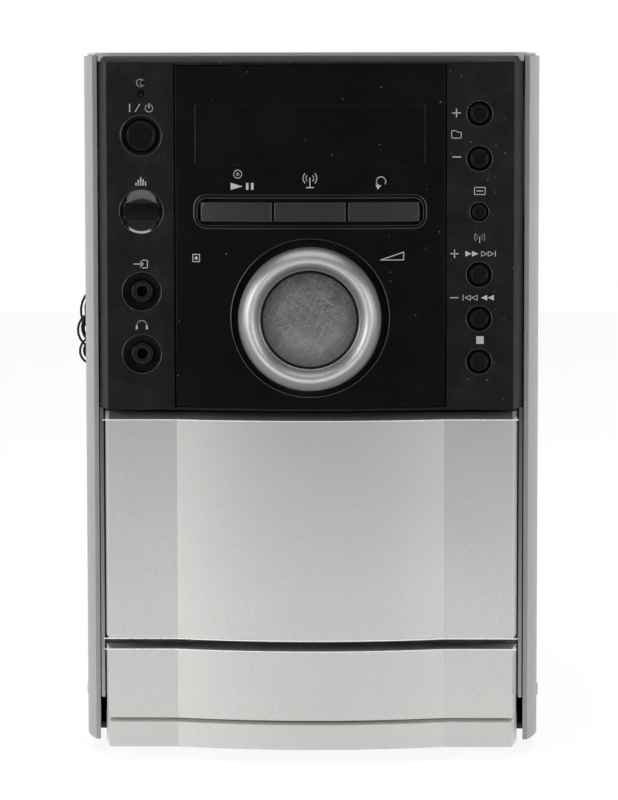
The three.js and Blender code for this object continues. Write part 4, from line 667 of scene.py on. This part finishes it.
class Marks:
    """Thin flat marks on a surface, gathered into one piece; on gives a place from x, z and a lift."""

    def __init__(self, name, on=on_front):
        self.name, self.on, self.mesh = name, on, bmesh.new()

    def fill(self, points):
        """A filled outline, (x, z) in millimetres."""
        plate(self.mesh, *([self.mesh.verts.new(self.on(x, z, lift) * MM) for x, z in points]
                           for lift in (PRINT_THICK, -PRINT_ROOT)))

    def line(self, points, width, closed=False):
        """A stroke along points, one quad for each step; the quads overlap at the points."""
        ends = points + points[:1] if closed else points
        for (x0, z0), (x1, z1) in zip(ends, ends[1:]):
            length = math.hypot(x1 - x0, z1 - z0)
            ux, uz = (x1 - x0) / length, (z1 - z0) / length
            e = width * 0.35
            ax, az, bx, bz = x0 - ux * e, z0 - uz * e, x1 + ux * e, z1 + uz * e
            nx, nz = -uz * width / 2, ux * width / 2
            self.fill([(ax + nx, az + nz), (ax - nx, az - nz), (bx - nx, bz - nz), (bx + nx, bz + nz)])

    def rule(self, x0, z0, x1, z1, width=STROKE):
        self.line([(x0, z0), (x1, z1)], width)

    def arc(self, cx, cz, radius, start, end, width, steps=14):
        """A stroke along an arc, its angles in degrees."""
        angles = [math.radians(start + (end - start) * k / steps) for k in range(steps + 1)]
        self.line([(cx + radius * math.cos(a), cz + radius * math.sin(a)) for a in angles], width)

    def waves(self, x, z, radius, half, width, steps=8):
        """An arc to the right and one to the left."""
        self.arc(x, z, radius, -half, half, width, steps)
        self.arc(x, z, radius, 180 - half, 180 + half, width, steps)

    def box(self, x0, z0, x1, z1, width):
        self.line([(x0, z0), (x1, z0), (x1, z1), (x0, z1)], width, True)

    def minus(self, x, z, half=1.35):
        self.rule(x - half, z, x + half, z)

    def plus(self, x, z, half=1.35):
        self.minus(x, z, half)
        self.rule(x, z - half, x, z + half)

    def wedge(self, x, z, width, half, way, solid=True):
        """A triangle that points left or right; x is its base."""
        points = [(x, z - half), (x, z + half), (x + way * width, z)]
        if solid:
            self.fill(points)
        else:
            self.line(points, 0.22, True)

    def done(self, body="cabinet", look="print_grey"):
        return placed(linked(self.name, self.mesh), body, "knob_silver", look, 0)


left = Marks("left_marks")
# Standby: a crescent
left.arc(-57.0, 230.0, 1.25, 50, 310, 0.3)
left.arc(-56.0, 230.0, 1.0, 75, 285, 0.24)
# Power: bar, slash and a ring with a bar
left.rule(-60.6, 220.4, -60.6, 222.9)
left.rule(-58.7, 220.4, -57.2, 222.9, 0.26)
left.arc(-54.1, 221.5, 1.25, 125, 415, 0.3)
left.rule(-54.1, 221.5, -54.1, 223.1, 0.3)
# Bass: bars of a sound level
for k, tall in enumerate((0.8, 1.7, 2.6, 1.9, 1.1)):
    left.rule(-58.6 + 0.8 * k, 195.7, -58.6 + 0.8 * k, 195.7 + tall, 0.38)
# Audio in: an arrow into a frame
left.line([(-56.6, 167.9), (-54.9, 167.9), (-54.9, 170.5), (-56.6, 170.5)], 0.28)
left.rule(-59.6, 169.2, -56.2, 169.2, 0.28)
left.line([(-57.3, 168.3), (-56.2, 169.2), (-57.3, 170.1)], 0.28)
# Headphones
left.arc(-56.9, 148.4, 1.7, 0, 180, 0.3)
for side in (-1, 1):
    left.rule(-56.9 + side * 1.7, 148.4, -56.9 + side * 1.7, 147.4, 0.62)
left.done()

right = Marks("right_marks")
# Folders: plus, minus and a folder between them
right.plus(49.1, 219.8)
right.minus(49.15, 205.1)
right.line([(47.5, 211.4), (50.7, 211.4), (50.7, 213.4), (49.4, 213.4), (49.0, 213.9), (47.5, 213.9)], 0.24,
           True)
# Display: a screen with a line
right.box(55.2, 192.5, 58.8, 194.9, 0.24)
right.rule(56.0, 193.7, 58.0, 193.7, 0.3)
# Tuning: an aerial with waves, plus, minus and the two ways to skip
right.rule(57.0, 176.3, 57.0, 178.3, 0.28)
right.waves(57.0, 178.2, 0.95, 40, 0.22, 6)
right.waves(57.0, 178.2, 1.75, 40, 0.22)
right.plus(48.55, 172.6, 1.3)
right.minus(48.45, 157.8, 1.3)
for k in range(2):
    right.wedge(52.2 + 2.25 * k, 172.6, 2.15, 0.95, 1)
    right.wedge(57.6 + 2.25 * k, 172.6, 1.9, 0.85, 1, False)
    right.wedge(54.0 + 2.25 * k, 157.8, 1.9, 0.85, -1, False)
    right.wedge(59.6 + 2.25 * k, 157.8, 2.15, 0.95, -1)
right.rule(62.3, 171.7, 62.3, 173.5, 0.26)
right.rule(51.5, 156.9, 51.5, 158.7, 0.26)
# Stop: a square
right.fill([(55.95, 142.2), (58.45, 142.2), (58.45, 144.8), (55.95, 144.8)])
right.done()

window = Marks("window_marks")
# Disc: play, pause and a disc
window.wedge(-26.6, 195.4, 4.1, 1.2, 1)
for k in range(2):
    window.rule(-21.0 + 1.7 * k, 194.55, -21.0 + 1.7 * k, 196.25, 0.85)
window.arc(-24.2, 199.5, 1.35, 0, 360, 0.26, 24)
window.arc(-24.2, 199.5, 0.4, 0, 360, 0.24, 12)
# Tuner: an aerial with waves; function: a turning arrow
window.rule(0, 195.2, 0, 198.2)
window.rule(-1.2, 195.0, 1.2, 195.0)
for reach in (1.3, 2.3):
    window.waves(0, 198.1, reach, 42, 0.3)
window.arc(23.8, 197.0, 1.55, -30, 240, 0.32, 20)
window.fill([(21.9, 195.9), (23.9, 195.7), (22.75, 194.3)])
# Volume: a rising wedge
window.line([(23.6, 170.7), (31.4, 170.7), (31.4, 173.3)], 0.3, True)
# The place of the remote eye: a small square with a dot
window.box(-39.5, 170.1, -37.2, 172.5, 0.26)
window.fill(circle(-38.35, 171.3, 0.55, 16))
window.done()

# Round buttons: a turned face with a raised ring, a shoulder round it and the rim of the well
ROUND_SIZES = {"power_button": (5.44, 6.9, 4.45), "display_button": (2.54, 3.25, 2.2)}
for name in ("power_button", "folder_up_button", "folder_down_button", "display_button", "tuning_up_button",
             "tuning_down_button", "stop_button"):
    at = middle(name)
    r, well, ring = ROUND_SIZES.get(name, (3.54, 4.35, 2.65))
    top = box_mm(name)[0].y
    face = [(0, -0.08), (ring - 0.35, -0.08), (ring - 0.12, -0.24), (ring + 0.06, -0.24), (ring + 0.24, -0.05),
            (ring + 0.26, 0.4)]
    turned(name + "_face", at, face, *like(name), "cap_black", 0.1, tail=[(ring + 0.26, 1.8), (0, 1.8)],
           base=top)
    shoulder = [(ring + 0.27, 0.6), (ring + 0.3, -0.03), (r - 0.3, -0.03), (r, 0.4), (r, 1.8)]
    turned(name + "_shoulder", at, shoulder, *like(name), "pit_black", 0.16, tail=[(ring + 0.27, 1.8)],
           base=top)
    bead(name + "_rim", circle(at.x, at.z, well + 0.05), 0.13, flat=True)

# The bowl round the bass button, from a round rim down to the button's outline
BOWL_RADIUS, BOWL_DEPTH, BOWL_CURVE, BOWL_STEPS, BOWL_BACK = 7.42, 1.45, 3.2, 14, -95.3
bass = middle("bass_button")
mesh = bmesh.new()


def bowl_ring(share, y):
    """A ring of the bowl: its rim at share 0, the button's outline at share 1."""
    ring = []
    for x, z in rounded_loop(0, 0, 6.4, 2.72, 1.7, 8, 30):
        rim = Vector((x, 0, z)).normalized() * BOWL_RADIUS
        spot = rim + (Vector((x, 0, z)) - rim) * share
        ring.append(mesh.verts.new(Vector((bass.x + spot.x, y, bass.z + spot.z)) * MM))
    return ring


shares = [step / BOWL_STEPS for step in range(BOWL_STEPS + 1)]
skin(mesh, [bowl_ring(share, FRONT - 0.02 + BOWL_DEPTH * (1 - (1 - share) ** BOWL_CURVE)) for share in shares]
     + [bowl_ring(share, BOWL_BACK) for share in (1, 0)])
placed(linked("bass_bowl", mesh), "cabinet", "gloss_black", "dish_black", 40)
bead("bass_rim", circle(bass.x, bass.z, BOWL_RADIUS + 0.03), 0.13, flat=True)
placed(arch_slab("bass_face", rounded_loop(bass.x, bass.z, 6.1, 2.39, 1.5, 6), 0.06, 1.2), *like("bass_button"),
       "cap_black", 40, 0.3)

# Rings of the sockets
for name in ("audio_in_jack", "phones_jack"):
    at = middle(name)
    ring = [(3.0, -95.2), (2.0, -95.55), (1.92, -95.95), (2.5, -96.05), (3.3, -96.02), (3.74, -95.6),
            (3.74, -94.6), (3.0, -94.6)]
    turned(name + "_ring", at, ring, *like(name), "socket_grey", 0.2)
    bead(name + "_rim", circle(at.x, at.z, 6.62), 0.14, flat=True)

# Faces of the three bars, with round outer ends, and the lip of their recess
BAR_HALF, BAR_EDGE = 3.22, 0.28
for name in ("disc_play_button", "band_button", "function_button"):
    low, high = box_mm(name)
    mid, half = (low + high) / 2, (high.x - low.x) / 2 + 0.02
    left_r = 2.0 if name == "disc_play_button" else 0.3
    right_r = 2.0 if name == "function_button" else 0.3
    loop = []
    for sx, sz, quarter in ((1, -1, -1), (1, 1, 0), (-1, 1, 1), (-1, -1, 2)):
        r = right_r if sx > 0 else left_r
        loop += [(mid.x + sx * (half - r) + r * math.cos(t), mid.z + sz * (BAR_HALF - r) + r * math.sin(t))
                 for t in ((quarter + k / 8) * math.pi / 2 for k in range(9))]
    placed(arch_slab(name + "_face", loop, 0.45, 1.75), *like(name), "bar_grey", 12, 0.35)
    inset = [(mid.x + (x - mid.x) * (1 - BAR_EDGE / half), mid.z + (z - mid.z) * (1 - BAR_EDGE / BAR_HALF))
             for x, z in loop]
    bead(name + "_edge", inset, 0.1, 0.37, owner=like(name))


def bar_loop(inset):
    """The outline of the bars' lip, or one that lies inside it."""
    return rounded_loop(0, 186.85, 39.2 - inset, 5.75 - inset, 4.4 - inset, 10, 44)


framed("bar_lip", bar_loop(0), bar_loop(1.25), on_front, 0.16, "cabinet", "gloss_black", 1.24, 40, 0.2)
bead("bar_lip_line", bar_loop(0.05), 0.1, 0.1)
bead("bar_lip_edge", bar_loop(1.2), 0.08, 0.12)
bead("display_outline", rounded_loop(0, 212.6, 38.55, 10.0, 0.8, 4, 44), 0.07, -0.035, look="gloss_black")
bead("knob_rim", circle(0, KNOB_Z, 26.6, 144), 0.2, -0.04)

# The volume knob: a turned ring with a crest, and a cap with a worn face and painted light and shade
curve = [(23.87, -110.6), (23.78, -111.5), (23.5, -112.3), (23.0, -113.1), (22.4, -113.85), (21.7, -114.5),
         (21.0, -115.0), (20.3, -115.3), (19.65, -115.35), (19.0, -115.1), (18.35, -114.55), (17.75, -113.8),
         (17.25, -113.0), (16.98, -112.35), (16.88, -112.1), (16.75, -112.0), (16.6, -112.02), (16.45, -111.8)]
ring = [(19.8, -101.0), (23.87, -101.0), *curve, (16.45, -108.3), (4.0, -108.3), (4.0, -105.0), (19.8, -105.0)]
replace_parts(turned("volume_ring", (0, 0, KNOB_Z), ring, "knob", "knob_silver", soft=0, sides=144),
            "volume_knob")
cap = [(0, -110.85), (12, -110.9), (15.6, -111.0), (16.12, -110.7), (16.12, -108.5), (0, -108.5)]
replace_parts(turned("volume_cap", (0, 0, KNOB_Z), cap, "knob", "dark_grey", "cap_worn_and_shaded", steps=5, sides=144),
            "knob_cap")

# Painted highlights: thin light strips along the edges of the door and the flap
for name, node, z, half in (("door_top_edge", "cassette_door", 116.42, 70.4),
                            ("door_low_edge", "cassette_door", box_mm("cassette_door")[0].z + 0.33, 70.4),
                            ("flap_top_edge", "key_flap", box_mm("key_flap")[1].z - 0.17, 70.1)):
    placed(arch_slab(name, rounded_loop(0, z, half, 0.15, 0.14, 2, 70), 0.05, 0.3), body_of[node], "silver",
           "edge_silver")


# Screws
def cross(reach, half):
    """How far a cross recess reaches at an angle."""
    def radius(angle):
        c, s = max(abs(math.cos(angle)), 1e-6), max(abs(math.sin(angle)), 1e-6)
        return max(min(reach / c, half / s), min(reach / s, half / c))
    return radius


def screw(name, seat, axis, way, radius, high, look="black_steel"):
    """A pan head with a cross recess; axis and way say where it faces."""
    points = [(0, high - radius * 0.35), (cross(radius * 0.45, radius * 0.1), high - radius * 0.3),
              (cross(radius * 0.55, radius * 0.13), high), (radius * 0.72, high), (radius * 0.93, high * 0.72),
              (radius, high * 0.3), (radius, -0.1), (0, -0.1)]
    turned(name, seat, [(reach, way * rise) for reach, rise in points], "cabinet", "steel", look, 0,
           base=seat["xyz".index(axis)], axis=axis, sides=48)


panel = box_mm("right_side_panel")[1]
REAR = panel.y
for side, name in ((-1, "left"), (1, "right")):
    for k, y in enumerate((-60.8, REAR - 14)):
        screw(f"{name}_side_screw_{k}", (side * (panel.x - 0.4), y, 18.5), "x", side, 2.3, 0.45, "screw_steel")
for k, (x, z) in enumerate(((-71, 11), (71, 11), (-71, 227), (71, 227), (-71, 112), (71, 112))):
    screw(f"rear_screw_{k}", (x, REAR, z), "y", 1, 3.0, 1.5)
for k, (x, y) in enumerate(((-60, -20), (60, -20), (-60, 60), (60, 60))):
    screw(f"tray_screw_{k}", (x, y, 4.5), "z", -1, 2.8, 1.3)


# The rear
def on_rear(x, z, lift):
    return Vector((x, REAR + lift, z))


def lever(name, x, z, half, slot, look):
    """The lever of a wire clip."""
    outline = [(CLIP_FACE + u, z + v) for u, v in LEVER]
    placed(prism(name, outline, x - half, x + half, "x"), "cabinet", slot, look, bevel=0.3)


clips = middle("speaker_terminal_block")
CLIP_FACE = box_mm("speaker_terminal_block")[1].y - 1
CLIP_PITCH, CLIP_MARK_Z = 13, 87.6
LEVER = [(-0.3, 2.7), (2.0, 2.9), (3.0, 4.2), (2.7, 6.6), (1.2, 7.4), (-0.3, 7.4)]
clip_xs = [clips.x + (k - 1.5) * CLIP_PITCH for k in range(4)]
for k, x in enumerate(clip_xs):
    lever(f"clip_lever_{k}", x, clips.z, 3.6, "matte_black", "key_grey" if k % 2 else "red_plastic")
    bore = [(1.95, 1.6), (2.5, 2.15), (3.1, 2.1), (3.2, 1.2), (1.95, 1.0)]
    turned(f"clip_bore_{k}", (x, 0, clips.z - 1.2), bore, "cabinet", "steel", soft=0.2, base=CLIP_FACE - 0.6,
           sides=40)
for k, x in enumerate((-49.8, -44.4)):
    lever(f"loop_lever_{k}", x, 148.9, 1.9, "dark_grey", "white_plastic" if k else "key_grey")
turned("aerial_jack_ring", (middle("antenna_wire_plug").x, 0, 149.0),
       [(3.75, 113.6), (3.75, 116.2), (4.1, 116.5), (4.9, 116.3), (5.3, 115.4), (5.3, 114.4), (4.4, 113.6)],
       "cabinet", "steel", sides=72)
gland = middle("mains_cord_gland")
collar = [(3.2, 114.2), (3.4, 115.9), (5.2, 116.2), (7.6, 115.2), (8.2, 114.2), (8.2, 113.45), (3.2, 113.45)]
turned("gland_collar", gland, collar, "cabinet", "rubber", soft=0.35, sides=72)
turned("gland_stop", gland, [(0, 112.4), (2.2, 112.4), (2.95, 112.1), (2.95, 111.0)], "cabinet", "rubber",
       tail=[(0, 111.0)], sides=48)
for k in range(3):
    rib = [(2.9, 0), (3.0, 0.5), (3.35, 0.7), (3.5, 0.3), (3.5, -0.2), (2.9, -0.3)]
    turned(f"gland_rib_{k}", gland, [(r - 0.05 * k, a) for r, a in rib], "cabinet", "rubber", soft=0.1, steps=3,
           base=114.0 - 1.6 * k, sides=48)
for name, x, z, wide, high in (("clip_frame", -47.1, clips.z, 28.5, 11.5),
                               ("aerial_frame", -54.6, 149, 17, 12)):
    framed(name, rounded_loop(x, z, wide, high, 2, 6), rounded_loop(x, z, wide - 1.2, high - 1.2, 1.2, 6),
           on_rear, 0.8, "cabinet", "matte_black")

rear = Marks("rear_marks", on_rear)
for k in (0, 2):
    rear.plus(clip_xs[k], CLIP_MARK_Z)
    rear.minus(clip_xs[k + 1], CLIP_MARK_Z)
    # Speaker: a box with a cone
    x = clip_xs[k] + CLIP_PITCH / 2
    rear.line([(x - 1.6, 90.3), (x - 0.6, 90.3), (x + 0.9, 89.3), (x + 0.9, 93.3), (x - 0.6, 92.3),
               (x - 1.6, 92.3)], 0.3, True)
# Wire aerial: a mast with waves; loop aerial: a frame on a foot; mains: a ring with a wave
rear.rule(-62.1, 163.2, -62.1, 166.2)
for reach in (1.4, 2.5):
    rear.waves(-62.1, 166.2, reach, 42, 0.3)
rear.box(-49.4, 163.4, -44.8, 167.4, STROKE)
rear.rule(-47.1, 163.4, -47.1, 161.9)
rear.arc(gland.x, 47.0, 1.3, 0, 360, 0.3, 20)
rear.line([(gland.x - 0.75, 47.0), (gland.x - 0.4, 47.5), (gland.x, 47.0), (gland.x + 0.4, 46.5),
           (gland.x + 0.75, 47.0)], 0.26)
rear.done()

# The disc player
disc, sled = middle("disc_turntable"), middle("pickup_sled")
WELL_FLOOR = box_mm("disc_turntable")[1].z - 6.4
SLED_TOP = box_mm("pickup_sled")[1].z
LID_TOP = box_mm("disc_lid")[1].z
LID_UNDER = LID_TOP - 2
for name, ring in {"well_edge": [(58.6, 0), (59.0, 0.7), (61.9, 0.9), (61.95, 0)],
                   "well_groove": [(38.0, 0), (38.1, 0.22), (38.9, 0.22), (39.0, 0)]}.items():
    turned(name, disc, ring, "cabinet", "silver", soft=0, tail=[(ring[-1][0], -0.1), (ring[0][0], -0.1)],
           base=WELL_FLOOR, axis="z", sides=144)
turned("turntable_pad", disc, [(9.2, 3.1), (9.2, 3.6), (14.4, 3.6), (14.9, 3.2), (14.9, 3.0)], "turntable",
       "rubber", base=WELL_FLOOR, axis="z")
turned("hub_cap", disc, [(0, 5.4), (2.0, 5.4), (2.4, 6.3), (5.6, 6.45), (6.4, 6.1), (7.2, 4.2), (7.55, 3.1)],
       "turntable", "matte_black", "cap_black", tail=[(0, 3.1)], base=WELL_FLOOR, axis="z")
CLAW = [(6.4, 3.9), (7.75, 4.1), (7.9, 4.7), (7.2, 5.3), (6.2, 5.5)]
for k in range(3):
    c, s = math.cos(2 * math.pi * k / 3 + 0.4), math.sin(2 * math.pi * k / 3 + 0.4)
    mesh = bmesh.new()
    plate(mesh, *([mesh.verts.new(Vector((disc.x + r * c - w * s, disc.y + r * s + w * c, WELL_FLOOR + v)) * MM)
                   for r, v in CLAW] for w in (-1.1, 1.1)))
    placed(linked(f"hub_claw_{k}", mesh), "turntable", "matte_black", "steel", bevel=0.25)
turned("lens_ring", sled, [(1.9, 0), (2.0, 0.3), (2.9, 0.3), (3.1, 0), (3.1, -1.2)], "pickup", "steel",
       "black_steel", 0.15, tail=[(1.9, -1.2)], base=SLED_TOP, axis="z", sides=64)
turned("lens_glass", sled, [(0, 0.45), (1.1, 0.35), (1.8, 0.05), (1.9, -0.3)], "pickup", "gloss_black",
       "lens_violet", steps=5, tail=[(0, -0.3)], base=SLED_TOP, axis="z", sides=64)
clamp = [(0, 0.1), (15.5, 0.1), (15.5, -2.2), (13.6, -4.6), (12.9, -8.2), (12.2, -8.9), (8.9, -8.9),
         (8.5, -8.2), (8.4, -6.6), (3.4, -6.4), (3.0, -5.0), (0, -5.0)]
turned("clamp", disc, clamp, "lid", "matte_black", soft=0.5, base=LID_UNDER, axis="z")
for radius in (30, 46):
    rib = [(0, 0.1), (0, -1.1), (0.35, -1.3), (1.0, -1.3), (1.3, -1.1), (1.3, 0.1)]
    turned(f"lid_rib_{radius}", disc, [(radius + r, a) for r, a in rib], "lid", "silver", soft=0,
           base=LID_UNDER, axis="z", sides=144)


def on_lid(x, z, lift):
    """The lid's top, where z runs backwards."""
    return Vector((x, z, LID_TOP + lift))


# The place to press the lid open: a shallow rounded frame with an open mark at the lid's front edge
framed("lid_press", rounded_loop(0, -58.5, 11, 4.4, 4.2, 10), rounded_loop(0, -58.5, 10.3, 3.7, 3.5, 10),
       on_lid, 0.25, "lid", "silver")
lid = Marks("lid_marks", on_lid)
lid.fill([(-1.7, -59.0), (1.7, -59.0), (0, -56.8)])
lid.rule(-1.7, -60.2, 1.7, -60.2, 0.5)
lid.done("lid", "rim_black")


# The tape keys and the deck
def on_key(x, z, lift):
    """The leaning front face of a key."""
    return Vector((x, -91.17 - 0.2218 * (z - 22) - lift, z))


KEY_MARK_Z = 26.4
KEY_WEDGES = {"play_key": [(-1.1, 2.4, 1.4, 1)], "rewind_key": [(0.1, 2.1, 1.2, -1), (2.3, 2.1, 1.2, -1)],
              "fast_forward_key": [(-2.3, 2.1, 1.2, 1), (-0.1, 2.1, 1.2, 1)]}
for name in ("record_key", "play_key", "rewind_key", "fast_forward_key", "stop_eject_key", "pause_key"):
    x, z = middle(name).x, KEY_MARK_Z
    marks = Marks(name + "_mark", on_key)
    for place, width, half, way in KEY_WEDGES.get(name, ()):
        marks.wedge(x + place, z, width, half, way)
    if name == "record_key":
        marks.fill(circle(x, z, 1.25, 24))
    elif name == "stop_eject_key":
        marks.fill([(x - 3.4, z - 1.1), (x - 1.2, z - 1.1), (x - 1.2, z + 1.1), (x - 3.4, z + 1.1)])
        marks.fill([(x + 0.6, z - 0.3), (x + 3.4, z - 0.3), (x + 2.0, z + 1.4)])
        marks.rule(x + 0.8, z - 0.95, x + 3.2, z - 0.95, 0.4)
    elif name == "pause_key":
        for k in (-0.75, 0.75):
            marks.rule(x + k, z - 0.9, x + k, z + 0.9, 0.65)
    marks.done(body_of[name], "print_red" if name == "record_key" else "print_grey")
HEAD_TOP, HEAD_FRONT, HEAD_BACK = 47.5, -86.4, -75.5
for name, x, half in (("play_head", 0, 5.4), ("erase_head", -15, 2.6)):
    outline = [(x + half * share, HEAD_TOP + rise) for share, rise in (
        (-1, -4.5), (-1, 0.1), (-0.6, 0.75), (0, 1.0), (0.6, 0.75), (1, 0.1), (1, -4.5))]
    placed(prism(name, outline, HEAD_FRONT, HEAD_BACK, "y"), "head_carriage", "steel", None, 40, 0.15)


# The stage and the light
def pale(name, glow, share):
    """A pale surface that the camera and mirror reflections see at its own brightness, or mostly so."""
    material = bpy.data.materials.new(name)
    material.use_nodes = True
    material.node_tree.nodes.clear()
    rays = add(material, "LightPath").outputs
    seen = worked(material, "MAXIMUM", rays["Is Camera Ray"], rays["Is Glossy Ray"])
    seen = worked(material, "MAXIMUM", seen, rays["Is Transmission Ray"])
    mix = add(material, "MixShader")
    link(material, worked(material, "MULTIPLY", seen, share), mix, 0)
    link(material, add(material, "BsdfDiffuse", Color=(0.9, 0.9, 0.9, 1)).outputs["BSDF"], mix, 1)
    link(material, add(material, "Emission", Color=(1, 1, 1, 1), Strength=glow).outputs["Emission"], mix, 2)
    link(material, mix.outputs["Shader"], add(material, "OutputMaterial"), "Surface")
    return material


for name, corners, glow, share in (
        ("floor", [(-3, -0.9, -0.0005), (3, -0.9, -0.0005), (3, 2.5, -0.0005), (-3, 2.5, -0.0005)], 1.05, 0.85),
        ("backdrop", [(-4, 2.4, -0.2), (4, 2.4, -0.2), (4, 2.4, 4), (-4, 2.4, 4)], 1.0, 1.0)):
    mesh = bmesh.new()
    mesh.faces.new([mesh.verts.new(corner) for corner in corners])
    sheet = linked(name, mesh)
    sheet.data.materials.append(pale("pale_" + name, glow, share))

WORLD_GREY = 0.16
world = bpy.data.worlds.new("studio")
scene.world = world
world.use_nodes = True
world.node_tree.nodes["Background"].inputs["Color"].default_value = (1, 1, 1, 1)
world.node_tree.nodes["Background"].inputs["Strength"].default_value = WORLD_GREY
for name, place, aim, size, power in (
        ("left_light", (-1.7, -0.9, 0.5), (0, -0.05, 0.12), (1.3, 1.3), 33),
        ("right_light", (1.7, -0.9, 0.45), (0, -0.05, 0.12), (1.3, 1.3), 23),
        ("top_light", (0, -0.2, 1.8), (0, 0, 0.1), (1.8, 1.2), 24)):
    data = bpy.data.lights.new(name, "AREA")
    data.shape = "RECTANGLE"
    data.size, data.size_y = size
    data.energy = power
    lamp = bpy.data.objects.new(name, data)
    scene.collection.objects.link(lamp)
    lamp.location = place
    lamp.rotation_euler = (Vector(aim) - Vector(place)).to_track_quat("-Z", "Y").to_euler()

scene.view_settings.view_transform = "Standard"
